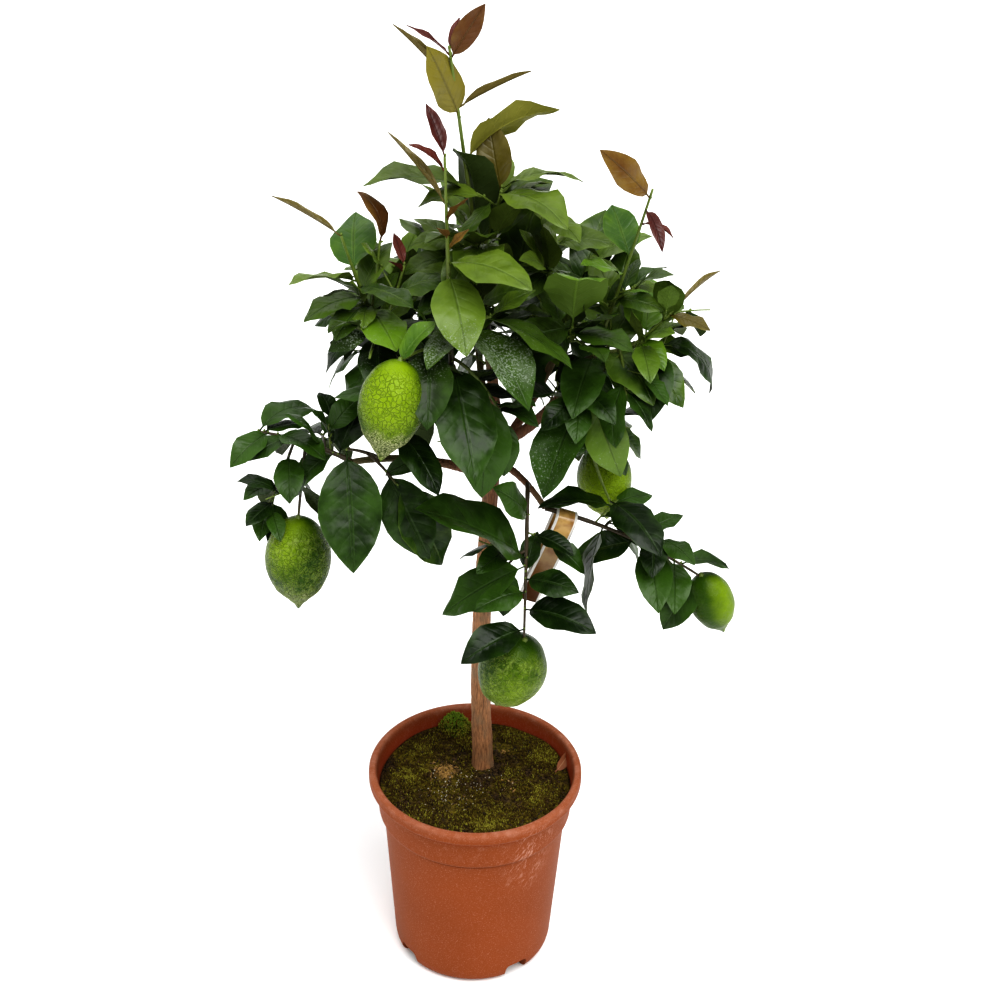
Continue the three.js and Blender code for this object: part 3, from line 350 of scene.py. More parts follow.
class BarkSizes(bpy.types.PropertyGroup):
    """Relief and colours of the bark"""
    relief: FloatProperty(name="Relief", description="Depth of the bark's fissures", default=0.0005, min=0,
                          unit="LENGTH")
    grain: FloatProperty(name="Skin size", description="Size of the faces of the bark's skin",
                         default=0.001, min=0.0007, unit="LENGTH")
    old: FloatVectorProperty(name="Old bark", description="Colour of the trunk", subtype="COLOR",
                             default=(0.33, 0.165, 0.075))
    young: FloatVectorProperty(name="Young bark", description="Colour of the boughs' outer halves",
                               subtype="COLOR", default=(0.075, 0.07, 0.028))


class LemonSizes(bpy.types.PropertyGroup):
    """Relief and colours of the lemons"""
    relief: FloatProperty(name="Relief", description="Height of the net on the rind", default=0.0005, min=0,
                          unit="LENGTH")
    rind: FloatVectorProperty(name="Rind", description="Colour of the rind", subtype="COLOR",
                              default=(0.2, 0.3, 0.006))
    # The darkest rind: unripe rind, and also the painted shade at a lemon's far side and edges
    shade: FloatVectorProperty(name="Unripe rind", description="Colour of the darkest rind",
                               subtype="COLOR", default=(0.03, 0.07, 0.003))


class SoilSizes(bpy.types.PropertyGroup):
    """What lies on the soil"""
    tufts: IntProperty(name="Moss tufts", description="Number of moss tufts", default=12000, min=0,
                       max=14000)
    crumbs: IntProperty(name="Crumbs", description="Number of crumbs of bark and peat", default=1500, min=0,
                        max=3000)
    earth: FloatVectorProperty(name="Earth", description="Colour of the potting mix", subtype="COLOR",
                               default=(0.04, 0.025, 0.012))
    moss: FloatVectorProperty(name="Moss", description="Colour of the moss", subtype="COLOR",
                              default=(0.19, 0.15, 0.014))


class StageSizes(bpy.types.PropertyGroup):
    """Camera, floor and light"""
    distance: FloatProperty(name="Camera distance", description="How far in front the camera stands",
                            default=1.6, unit="LENGTH")
    height: FloatProperty(name="Camera height", description="Height of the camera", default=1.501,
                          unit="LENGTH")
    lens: FloatProperty(name="Lens", description="Focal length on a 36 mm sensor", default=78.2,
                        unit="CAMERA")
    pitch: FloatProperty(name="Camera pitch", description="How far the camera looks down",
                         default=math.radians(31.98), subtype="ANGLE")
    yaw: FloatProperty(name="Camera yaw", description="How far the camera looks to the right",
                       default=math.radians(0.62), subtype="ANGLE")
    roll: FloatProperty(name="Camera roll", description="How far the camera is rolled",
                        default=math.radians(1.35), subtype="ANGLE")
    key: FloatProperty(name="Key light", description="Strength of the soft light from the front right",
                       default=2.3, min=0)
    fill: FloatProperty(name="Fill light", description="Strength of the soft light from the left",
                        default=0.5, min=0)
    back: FloatProperty(name="Back light", description="Strength of the soft light from behind",
                        default=0.35, min=0)
    sky: FloatProperty(name="Sky", description="Strength of the light from overhead", default=0.8, min=0)
    horizon: FloatProperty(name="Horizon", description="Strength of the light from the level", default=0.08,
                           min=0)


# Growth, by the same rule as the solids

class Curve:
    """A curve whose points are found by share of its length."""

    def __init__(self, at, samples=200):
        self.at = at
        points = [at(i / samples) for i in range(samples + 1)]
        steps = [(b - a).length for a, b in zip(points, points[1:])]
        self.places = np.linspace(0, 1, samples + 1)
        self.lengths = np.concatenate([[0], np.cumsum(steps)])
        self.length = self.lengths[-1]

    def warp(self, share):
        return float(np.interp(share * self.length, self.lengths, self.places))

    def point(self, share):
        return self.at(self.warp(share))

    def along(self, share):
        place = self.warp(share)
        return (self.at(min(place + 1e-4, 1)) - self.at(max(place - 1e-4, 0))).normalized()


def arched(start, tip, arch):
    """Curve from one point to another, its middle raised by arch."""
    middle = start.lerp(tip, 0.5) + UP * 2 * arch
    return Curve(lambda t: start * (1 - t) ** 2 + middle * 2 * t * (1 - t) + tip * t * t)


def through(points):
    """Smooth curve through points, closer to its corners than an even one."""
    ends = [points[0] * 2 - points[1]] + list(points) + [points[-1] * 2 - points[-2]]

    def at(t):
        span = min(int(t * (len(points) - 1)), len(points) - 2)
        t = t * (len(points) - 1) - span
        p, q, r, s = ends[span:span + 4]
        a, b, c = ((y - x).length ** 0.5 for x, y in ((p, q), (q, r), (r, s)))
        leave = ((q - p) / a - (r - p) / (a + b) + (r - q) / b) * b
        reach = ((r - q) / b - (s - q) / (b + c) + (s - r) / c) * b
        bend = (r - q) * 3 - leave * 2 - reach
        return q + leave * t + bend * t ** 2 + ((q - r) * 2 + leave + reach) * t ** 3

    return Curve(at)


def dealer(seed):
    """Random numbers between 0 and 1, the same ones as the solids were grown with."""
    state = seed
    while True:
        state = (state * 1664525 + 1013904223) % 4294967296
        yield state / 4294967296


def heading(bearing, rise):
    """Unit vector from a bearing, turned from +X towards +Y, and a rise above the level."""
    bearing, rise = math.radians(bearing), math.radians(rise)
    return Vector((math.cos(rise) * math.cos(bearing), math.cos(rise) * math.sin(bearing), math.sin(rise)))


def square(a, b):
    """Part of a that stands square to the unit vector b, at unit length."""
    return (a - b * a.dot(b)).normalized()


def beside(way):
    """Unit vector square to another: the one that points up most, or near the vertical, to +X."""
    return square(Vector((1, 0, 0)) if abs(way.z) > 0.9 else UP, way)


def even_angles(sides):
    return np.arange(sides) * 2 * math.pi / sides


def lerp(ends, share):
    return ends[0] + (ends[1] - ends[0]) * share


def clipped(value):
    """A number kept between 0 and 1."""
    return min(1, max(0, value))


class Leaf:
    """A leaf's root, the direction and upper face there, its length, bend and tint. The way that it's
    given is that of its chord."""

    def __init__(self, root, way, length, tint, bend, roll, mass=None, set_by_hand=False):
        face = Quaternion(way, math.radians(roll)) @ square(UP, way)
        half = math.radians(bend) / 2
        self.root = root
        self.along = way * math.cos(half) + face * math.sin(half)
        self.upper = face * math.cos(half) - way * math.sin(half)
        self.length = length * half / math.sin(half)
        self.bend = 2 * half
        self.tint = tint
        self.mass = mass
        self.set_by_hand = set_by_hand

    def midrib(self, place):
        """Point of the midrib, and the direction its upper face looks there."""
        turned = self.bend * place
        point = (self.root + self.along * (self.length * math.sin(turned) / self.bend)
                 - self.upper * (self.length * (1 - math.cos(turned)) / self.bend))
        return point, self.upper * math.cos(turned) + self.along * math.sin(turned)


def dealt_leaves(curve, count, first, last, length, tint, mass, random):
    """Leaves that the rule deals out along a shoot, turned by the golden angle from one to the next."""
    turn = 360 * next(random)
    for i in range(count):
        place = first + (last - first) * (i + 0.5) / count
        along = curve.along(place)
        turn += GOLDEN_TURN + TURN_SPREAD * (next(random) - 0.5)
        out = Quaternion(along, math.radians(turn)) @ beside(along)
        spread = math.radians(lerp(LEAF_SPREAD, place))
        way = along * math.cos(spread) + out * math.sin(spread)
        way.z -= DROOP * (0.5 + next(random))
        way.normalize()
        size = length * lerp(SIZE_SPREAD, next(random))
        bend = lerp(BEND_SPREAD, next(random))
        roll = ROLL_SPREAD * (next(random) - 0.5)
        yield Leaf(curve.point(place), way, size, tint, bend, roll, mass)


def within(mass, point):
    """Whether a point lies in a mass's own space."""
    centre, reach = MASSES[mass][2:]
    return sum(((p / MM - c) / r) ** 2 for p, c, r in zip(point, centre, reach)) <= 1


class Crown:
    """Every limb, twig, leaf and lemon of the tree, worked out once and read by several operators."""

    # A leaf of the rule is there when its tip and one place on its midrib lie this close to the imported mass
    TIP_OFF = 0.0006
    BLADE_OFF = 0.0012
    LONG_STATION = 0.28
    SHORT_STATION = 0.44
    # Least distance between the middles of a fine leaf and any other leaf
    SPACING = 0.012
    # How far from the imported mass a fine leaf's tip may lie, and a bright one's
    REACH = 0.03
    BRIGHT_REACH = 0.014
    # Fine twigs: shortest and longest, radii, arch, lean along the shoot and up, first and last leaf
    FINE_LENGTH = (0.016, 0.036)
    FINE_RADII = (0.0009, 0.0006)
    FINE_ARCH = 0.0008
    FINE_ALONG = 0.5
    FINE_UP = 0.15
    FINE_PLACES = (0.2, 1.05)
    # Place of the first fine twig on a shoot, and on a bough, with the length and tint of the leaves there
    SHOOT_FIRST = 0.06
    BOUGH_LEAVES = (0.3, 66, "deep")
    # Fine leaves keep behind the big ones at the crown's front
    FRONT = -0.07
    # How much farther apart the fine twigs stand in the open, drooping masses
    OPEN_MASSES = {"crown_low_front": 5, "crown_low_right": 4, "crown_low_left": 3, "crown_low_inner": 3}

    def __init__(self, sizes):
        self.trees = {name: bvh_of(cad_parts[name]) for name in MASSES}
        self.random = dealer(SEED)
        self.extra = dealer(SEED + 1)
        self.grow_limbs()
        self.grow_shoots()
        self.leaves = []
        self.blades = []
        self.add_solid_leaves()
        self.obstacles = [bvh_of(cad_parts[name]) for name in ["trunk", "loop_label", *BOUGHS]]
        self.lemons = [(name, heading(bearing, rise), length * MM, radius * MM)
                       for name, bearing, rise, length, radius in LEMONS]
        self.fine = []
        self.add_fine_growth(sizes)

    def grow_limbs(self):
        """The trunk's course, and that of each bough with its two radii."""
        self.trunk = through([Vector(p) * MM for p in TRUNK])
        self.boughs = {}
        for name, (height, tip, arch, radii) in BOUGHS.items():
            start = self.trunk.at(place_at_height(self.trunk, height * MM))
            if height >= TRUNK[-1][2]:
                start.z += GAP * MM
            self.boughs[name] = (arched(start, Vector(tip) * MM, arch * MM), [r * MM for r in radii])

    def grow_shoots(self):
        """The course, radii and leaf rule of each shoot."""
        self.shoots = {}
        for mass, rows in SHOOTS.items():
            bough, stem_place = MASSES[mass][:2]
            for name, parent, place, tip, arch, radius, *rule in rows:
                if parent:
                    start = self.shoots[parent]["curve"].point(place)
                else:
                    start = self.boughs[bough][0].point(stem_place)
                curve = arched(start, Vector(tip) * MM, arch * MM)
                radii = (radius * MM, TWIG_TIP * MM)
                self.shoots[name] = {"mass": mass, "curve": curve, "radii": radii, "rule": rule}

    def add_solid_leaves(self):
        """The leaves that the solids have, each looked up in its packed mass."""
        for name, rows in SET_LEAVES:
            shoot = self.shoots[name]
            for place, bearing, rise, length, tint, bend, roll in rows:
                root = shoot["curve"].point(place)
                way = heading(bearing, rise)
                self.keep(Leaf(root, way, length * MM, tint, bend, roll, shoot["mass"], set_by_hand=True))
        for shoot in self.shoots.values():
            count, last, length, tint = shoot["rule"]
            for leaf in dealt_leaves(shoot["curve"], count, FIRST_LEAF, last, length * MM, tint,
                                     shoot["mass"], self.random):
                self.keep(leaf)

    def keep(self, leaf):
        """Adds a leaf of the solids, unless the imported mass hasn't got it."""
        station = self.SHORT_STATION if leaf.length < SHORT_LEAF * MM else self.LONG_STATION
        if self.off(leaf, 1) < self.TIP_OFF and self.off(leaf, station) < self.BLADE_OFF:
            self.add(leaf)

    def off(self, leaf, place):
        """How far a place on a leaf's midrib lies from its packed mass."""
        return self.trees[leaf.mass].find_nearest(leaf.midrib(place)[0])[3]

    def add(self, leaf):
        self.leaves.append(leaf)
        self.blades.append((leaf.midrib(0.5)[0], leaf.length / 2, coarse_blade(leaf)))

    def clear(self, leaf):
        """Whether a leaf's blade crosses no other blade, limb or lemon, and keeps its distance."""
        blade = coarse_blade(leaf)
        middle = leaf.midrib(0.5)[0]
        for other, half, tree in self.blades:
            apart = (other - middle).length
            if apart < self.SPACING or (apart < half + leaf.length / 2 and blade.overlap(tree)):
                return False
        return not any(blade.overlap(tree) for tree in self.obstacles)

    def add_fine_growth(self, sizes):
        """Fine twigs off the shoots and boughs, with smaller leaves, in the same spaces."""
        self.obstacles += [coarse_lemon(self.shoots[name]["curve"].point(1), axis, length, radius)
                           for name, axis, length, radius in self.lemons]
        carriers = []
        for shoot in self.shoots.values():
            _, last, length, tint = shoot["rule"]
            carriers.append((shoot["curve"], self.SHOOT_FIRST, last, length * MM, tint, shoot["mass"]))
        first, length, tint = self.BOUGH_LEAVES
        for mass, (bough, place, *_) in MASSES.items():
            if place == 1:
                carriers.append((self.boughs[bough][0], first, 1, length * MM, tint, mass))
        for curve, low, high, length, tint, mass in carriers:
            turn = 360 * next(self.extra)
            step = sizes.fine_step * self.OPEN_MASSES.get(mass, 1) / curve.length
            for i in range(max(1, round((high - low) / step))):
                place = low + (i + next(self.extra)) * step
                turn += GOLDEN_TURN
                if place < high:
                    self.add_fine_twig(sizes, curve, place, turn, length, tint, mass)

    def add_fine_twig(self, sizes, curve, place, turn, length, tint, mass):
        """One fine twig, if any of its leaves finds room."""
        along = curve.along(place)
        out = Quaternion(along, math.radians(turn)) @ beside(along)
        way = (along * self.FINE_ALONG + out + UP * self.FINE_UP).normalized()
        start = curve.point(place)
        twig = arched(start, start + way * lerp(self.FINE_LENGTH, next(self.extra)), self.FINE_ARCH)
        reach = self.BRIGHT_REACH if tint == "bright" else self.REACH
        before = len(self.leaves)
        first, last = self.FINE_PLACES
        length *= sizes.fine_leaf
        for leaf in dealt_leaves(twig, sizes.fine_count, first, last, length, tint, mass, self.extra):
            middle, tip = leaf.midrib(0.5)[0], leaf.midrib(1)[0]
            inside = within(mass, middle) and within(mass, tip) and middle.y > self.FRONT
            if self.off(leaf, 1) < reach and inside and self.clear(leaf):
                self.add(leaf)
        if len(self.leaves) > before:
            self.fine.append((twig, self.FINE_RADII))


def bvh_of(node):
    """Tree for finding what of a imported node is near."""
    mesh = node.data
    return BVHTree.FromPolygons([v.co for v in mesh.vertices], [list(p.vertices) for p in mesh.polygons])


def coarse_blade(leaf):
    """Three-column outline of a blade without its stalk, for testing whether it crosses another."""
    width = FORMS[leaf.tint][0] * leaf.length
    side = leaf.along.cross(leaf.upper)
    points = []
    for place, share in ((0.2, 0.5), (0.4, 1), (0.7, 0.85)):
        point = leaf.midrib(place)[0]
        points += [point - side * width * share, point, point + side * width * share]
    points.append(leaf.midrib(1)[0])
    faces = [(r * 3 + c, r * 3 + c + 1, r * 3 + c + 4, r * 3 + c + 3) for r in (0, 1) for c in (0, 1)]
    return BVHTree.FromPolygons(points, faces + [(6, 7, 9), (7, 8, 9)])


def coarse_lemon(stalk, axis, length, radius):
    """Ball-like hull of a lemon, a little larger than it is."""
    bm = bmesh.new()
    bmesh.ops.create_icosphere(bm, subdivisions=1, radius=1)
    turn = axis.to_track_quat("Z", "Y").to_matrix().to_4x4()
    place = Matrix.Translation(stalk + axis * (length / 2 - LEMON_SINK * MM))
    bm.transform(place @ turn @ Matrix.Diagonal((radius * 1.1, radius * 1.1, length / 2, 1)))
    tree = BVHTree.FromBMesh(bm)
    bm.free()
    return tree


def place_at_height(curve, height):
    """Place on a rising curve where it passes a height."""
    low, high = 0.0, 1.0
    while high - low > 1e-6:
        middle = (low + high) / 2
        low, high = (middle, high) if curve.at(middle).z < height else (low, middle)
    return high


def crown():
    """The tree's growth, worked out on the first call."""
    if crown.made is None:
        crown.made = Crown(bpy.context.scene.lemon_leaves)
    return crown.made


crown.made = None


# Meshes

class Skins:
    """Skins over rings of points, gathered to become one mesh. Every point keeps where it lies across
    and along its shape, its shape's tone and its shape's dust."""

    def __init__(self):
        self.points = []
        self.faces = []
        self.slots = []
        self.marks = []
        self.margins = []
        self.count = 0

    def add(self, rings, marks, slots=None, tip=None, margin=()):
        """Adds one closed skin, which ends in a flat face or in a tip. margin names the ring places that
        lie on a sharp edge, and slots the material of the faces that follow each ring place. An under
        face is split the other way, so that it follows the upper face."""
        number, sides = rings.shape[:2]
        slots = slots or [0] * sides
        start = self.count
        for ring in range(number - 1):
            for i in range(sides):
                j = (i + 1) % sides
                a, b = start + ring * sides, start + (ring + 1) * sides
                if slots[i]:
                    self.faces += [(a + i, a + j, b + i), (a + j, b + j, b + i)]
                else:
                    self.faces += [(a + i, a + j, b + j), (a + i, b + j, b + i)]
                self.slots += [slots[i]] * 2
        self.faces.append(tuple(start + i for i in reversed(range(sides))))
        self.slots.append(slots[-1])
        last = start + (number - 1) * sides
        points = rings.reshape(-1, 3)
        if tip is None:
            self.faces.append(tuple(last + i for i in range(sides)))
            self.slots.append(slots[0])
        else:
            points = np.vstack([points, tip])
            for i in range(sides):
                self.faces.append((last + i, last + (i + 1) % sides, last + sides))
                self.slots.append(slots[i])
        self.points.append(points)
        self.marks.append(marks)
        edge = np.zeros(len(points), bool)
        for place in margin:
            edge[place:number * sides:sides] = True
        if margin and tip is not None:
            edge[-1] = True
        self.margins.append(edge)
        self.count += len(points)

    def piece(self, name, finishes):
        """Piece with all the skins in one mesh, its margins sharp."""
        mesh = bpy.data.meshes.new(name)
        mesh.from_pydata(np.vstack(self.points).tolist(), [], self.faces)
        marks = np.vstack(self.marks).astype(np.float32)
        blade = mesh.attributes.new("blade", "FLOAT_VECTOR", "POINT")
        blade.data.foreach_set("vector", marks[:, :3].ravel())
        dust = mesh.attributes.new("dust", "FLOAT", "POINT")
        dust.data.foreach_set("value", marks[:, 3].copy())
        mesh.polygons.foreach_set("material_index", self.slots)
        mesh.shade_smooth()
        margin = np.concatenate(self.margins)
        ends = np.empty(len(mesh.edges) * 2, np.int32)
        mesh.edges.foreach_get("vertices", ends)
        sharp = mesh.attributes.new("sharp_edge", "BOOLEAN", "EDGE")
        sharp.data.foreach_set("value", margin[ends.reshape(-1, 2)].all(axis=1))
        for finish in finishes:
            mesh.materials.append(finish)
        return shown(name, mesh)


def shown(name, mesh):
    """Object of a mesh, in the scene."""
    piece = bpy.data.objects.new(name, mesh)
    bpy.context.scene.collection.objects.link(piece)
    return piece


def settle(piece, slot, *nodes):
    """Hangs a finished piece from the root body, and hides the imported nodes that it stands for."""
    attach(piece, "root")
    if nodes:
        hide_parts(*nodes)


def object_of(name, bm, *finishes):
    """Turns a bmesh into a smooth shown object."""
    mesh = bpy.data.meshes.new(name)
    bm.to_mesh(mesh)
    bm.free()
    mesh.shade_smooth()
    for finish in finishes:
        mesh.materials.append(finish)
    return shown(name, mesh)


def baked(piece):
    """Swaps a piece's modifiers for the mesh that they make."""
    evaluated = piece.evaluated_get(bpy.context.evaluated_depsgraph_get())
    mesh = bpy.data.meshes.new_from_object(evaluated)
    piece.modifiers.clear()
    old = piece.data
    piece.data = mesh
    bpy.data.meshes.remove(old)
    mesh.name = piece.name


def mark(mesh, name, values):
    """Keeps one number at every point of a mesh."""
    mesh.attributes.new(name, "FLOAT", "POINT").data.foreach_set("value", np.asarray(values, np.float32))


def tube_rings(curve, radius_at, sides, places):
    """Rings of points round a curve, each turned as little as can be from the last."""
    along = curve.along(0)
    across = beside(along)
    angles = even_angles(sides)
    rings = []
    for place in places:
        along = curve.along(place)
        across = square(across, along)
        aside = along.cross(across)
        ring = np.outer(np.cos(angles), across) + np.outer(np.sin(angles), aside)
        rings.append(np.array(curve.point(place)) + ring * radius_at(place))
    return np.array(rings)


# Places along a leaf, stalk included, of its rings: more on the leaves set one by one
SET_STATIONS = (0, 0.085, 0.11, 0.15, 0.22, 0.31, 0.42, 0.54, 0.66, 0.77, 0.86, 0.93, 0.975)
FINE_STATIONS = (0, 0.085, 0.105, 0.16, 0.27, 0.43, 0.6, 0.76, 0.9)
STALK_SHARE = 0.1
# Ring places of a leaf: how far each lies across, and whether on the margin, the upper or the under face
LEAF_COLUMNS = np.array([-1, -0.5, 0, 0.5, 1, 0.5, 0, -0.5])
LEAF_FACES = np.array([0, 1, 1, 1, 0, -1, -1, -1])
LEAF_SIDES = len(LEAF_COLUMNS)
UPPER, UNDER = 0, 1
LEAF_SLOTS = [UPPER] * 4 + [UNDER] * 4
LEAF_MARGIN = (0, 4)
# What chance adds to a leaf: more fold and twist in degrees, arch across, and waves along each margin
MORE_FOLD = 14
TWIST = 14
ARCH_SPREAD = (0.05, 0.4)
WAVE_SPREAD = (1.2, 2.2)
# How soon a blade opens beyond its stalk, and how much thinner it is at its margin
OPENING = 6
THINNING = 0.4

# Where drops have left a crust on the leaves, in millimetres: middle, radius and strength
SPLASHES = [
    ((-6, -88, 700), 34, 1), ((10, -85, 685), 48, 1), ((-33, -90, 690), 34, 0.8), ((-96, -60, 680), 30, 0.9),
    ((82, -60, 570), 46, 0.6),
]


def half_width(share):
    """Half width along a blade, from its rounded base to its drawn-out tip."""
    return np.sin(np.pi * share ** 0.84) ** (0.62 + 0.3 * share)


def crust_at(points):
    """How much crust the splashes have left at each point, from 0 to 1."""
    reached = [power * (1 - np.linalg.norm(points / MM - spot, axis=1) / radius)
               for spot, radius, power in SPLASHES]
    return np.minimum(1, 1.6 * np.clip(np.max(reached, axis=0), 0, 1))


def add_leaf(skins, leaf, sizes, chance):
    """Skins one leaf: a round stalk that opens into a folded, arching, rippled blade."""
    places = np.array(SET_STATIONS if leaf.set_by_hand else FINE_STATIONS)
    width, fold = FORMS[leaf.tint]
    width, fold = width * leaf.length, math.radians(fold + chance.uniform(0, MORE_FOLD))
    share = np.clip((places - STALK_SHARE) / (1 - STALK_SHARE), 0, 1)
    reach = np.maximum(width * half_width(share), sizes.stalk / 2)
    thick = np.where(share > 0, sizes.rib / 2, sizes.stalk / 2)
    lines = [leaf.midrib(place) for place in places]
    centre = np.array([point for point, _ in lines])
    normal = np.array([face for _, face in lines])
    side = np.array(leaf.along.cross(leaf.upper))
    twist = math.radians(chance.uniform(-TWIST, TWIST)) * share[:, None]
    sideways = side * np.cos(twist) + normal * np.sin(twist)
    normal = normal * np.cos(twist) - side * np.sin(twist)
    columns = LEAF_COLUMNS[None, :]
    arch = chance.uniform(*ARCH_SPREAD)
    waves = chance.uniform(*WAVE_SPREAD) * share[:, None]
    waves = 2 * math.pi * (waves + chance.uniform(0, 1, 2)[(columns > 0) * 1])
    open_blade = np.clip(share * OPENING, 0, 1)[:, None]
    lift = abs(columns) * math.sin(fold) - arch * columns ** 2 * open_blade
    lift = lift + sizes.ripple * columns ** 2 * np.sin(waves) * open_blade
    lift = reach[:, None] * lift * (share > 0)[:, None]
    lift += LEAF_FACES[None, :] * thick[:, None] * (1 - THINNING * abs(columns))
    spread = reach[:, None] * columns * math.cos(fold)
    rings = centre[:, None] + sideways[:, None] * spread[..., None] + normal[:, None] * lift[..., None]
    tip = np.array(leaf.midrib(1)[0])
    tone = chance.uniform()
    marks = np.empty((len(places) * LEAF_SIDES + 1, 4))
    marks[:-1, 0] = np.tile(LEAF_COLUMNS, len(places))
    marks[:-1, 1] = np.repeat(places, LEAF_SIDES)
    marks[-1, :2] = 0, 1
    marks[:, 2] = tone
    marks[:-1, 3] = np.repeat(crust_at(centre), LEAF_SIDES)
    marks[-1, 3] = marks[-2, 3]
    skins.add(rings, marks, LEAF_SLOTS, tip, LEAF_MARGIN)


# Finishes

def tinted(colour, factor):
    """A lighter or darker colour."""
    return [min(1, part * factor) for part in colour]


class Value:
    """A socket of a shader. Sums with it add Math nodes."""

    def __init__(self, shader, socket):
        self.shader = shader
        self.socket = socket

    def math(self, operation, *others):
        return self.shader.math(operation, self, *others)

    def __add__(self, other):
        return self.math("ADD", other)

    __radd__ = __add__

    def __mul__(self, other):
        return self.math("MULTIPLY", other)

    __rmul__ = __mul__

    def __sub__(self, other):
        return self.math("SUBTRACT", other)

    def __rsub__(self, other):
        return self.shader.math("SUBTRACT", other, self)

    def __abs__(self):
        return self.math("ABSOLUTE")

    def smooth(self, low, high):
        """0 below low, 1 above high, and smooth between them."""
        ends = {"Value": self, "From Min": low, "From Max": high}
        return self.shader.add("ShaderNodeMapRange", {"interpolation_type": "SMOOTHSTEP"}, ends)


class Finish:
    """A material whose nodes are added one by one."""

    def __init__(self, name):
        self.material = bpy.data.materials.new(name)
        self.material.use_nodes = True
        self.nodes = self.material.node_tree.nodes
        self.nodes.clear()

    def add(self, kind, settings=None, inputs=None, output=0):
        """Adds a node, sets it up, feeds its sockets and returns one of its outputs."""
        node = self.nodes.new(kind)
        for name, value in (settings or {}).items():
            setattr(node, name, value)
        for name, value in (inputs or {}).items():
            socket = node.inputs[name]
            if isinstance(value, Value):
                self.material.node_tree.links.new(value.socket, socket)
            elif socket.type == "RGBA":
                socket.default_value = (*value[:3], 1)
            else:
                socket.default_value = value
        return Value(self, node.outputs[output]) if node.outputs else node

    def math(self, operation, *values):
        return self.add("ShaderNodeMath", {"operation": operation}, dict(enumerate(values)))

    def mix(self, share, a, b):
        """Colour a where share is 0, and b where it is 1."""
        return self.add("ShaderNodeMix", {"data_type": "RGBA"}, {0: share, 6: a, 7: b}, 2)

    def coords(self, stretch=None):
        """Place on the piece, stretched along its axes if asked."""
        place = self.add("ShaderNodeTexCoord", output="Object")
        if stretch is None:
            return place
        return self.add("ShaderNodeVectorMath", {"operation": "MULTIPLY"}, {0: place, 1: stretch})

    def noise(self, place, scale, detail=2.0, rough=0.5):
        inputs = {"Vector": place, "Scale": scale, "Detail": detail, "Roughness": rough}
        return self.add("ShaderNodeTexNoise", None, inputs)

    def cracks(self, place, scale):
        """Distance from the borders of cells that fill the space."""
        inputs = {"Vector": place, "Scale": scale}
        return self.add("ShaderNodeTexVoronoi", {"feature": "DISTANCE_TO_EDGE"}, inputs)

    def split(self, vector):
        """The three numbers of a vector."""
        first = self.add("ShaderNodeSeparateXYZ", None, {0: vector})
        return [Value(self, socket) for socket in first.socket.node.outputs]

    def kept(self, name, output="Fac"):
        """Number or vector that the mesh keeps at its points."""
        return self.add("ShaderNodeAttribute", {"attribute_name": name}, None, output)

    def surface(self, colour, roughness, height=None, depth=0.0003, **sockets):
        """Closes the material with its colour, its roughness and the relief that height gives it."""
        inputs = {"Base Color": colour, "Roughness": roughness}
        inputs.update({name.replace("_", " "): value for name, value in sockets.items()})
        if height is not None:
            relief = {"Height": height, "Distance": depth, "Strength": 1.0}
            inputs["Normal"] = self.add("ShaderNodeBump", None, relief)
        shader = self.add("ShaderNodeBsdfPrincipled", None, inputs)
        self.add("ShaderNodeOutputMaterial", None, {"Surface": shader})
        return self.material


# What the rind keeps at its points: strength of the net, ripeness with painted light and shade, place from
# stalk to nipple, and how pale the net's lines are
RIND_MARKS = ("net", "ripe", "end", "pale")

# Colours of each tint: darkest and lightest upper face, veins and under face
TINTS = {
    "deep": ((0.006, 0.016, 0.002), (0.04, 0.09, 0.01), (0.07, 0.13, 0.03), (0.05, 0.075, 0.018)),
    "mid": ((0.016, 0.045, 0.005), (0.105, 0.175, 0.018), (0.16, 0.24, 0.05), (0.1, 0.14, 0.022)),
    "bright": ((0.035, 0.095, 0.006), (0.125, 0.225, 0.014), (0.2, 0.31, 0.06), (0.1, 0.16, 0.022)),
    "olive": ((0.1, 0.08, 0.012), (0.18, 0.155, 0.022), (0.09, 0.07, 0.014), (0.27, 0.26, 0.05)),
    "bronze": ((0.1, 0.04, 0.01), (0.2, 0.125, 0.022), (0.05, 0.02, 0.008), (0.16, 0.085, 0.022)),
    "maroon": ((0.05, 0.008, 0.006), (0.105, 0.022, 0.012), (0.035, 0.006, 0.006), (0.11, 0.026, 0.018)),
    "sliver": ((0.09, 0.065, 0.018), (0.15, 0.12, 0.028), (0.07, 0.045, 0.018), (0.18, 0.14, 0.04)),
}
# Colours of the leaves near the top, younger growth with painted light from above, of the crust of drops,
# and the side veins of a leaf
YOUNG_AND_TOP_LIGHT = (0.14, 0.19, 0.025)
CRUST = (0.42, 0.47, 0.4)
VEIN_PAIRS = 9
VEIN_SLANT = 0.2


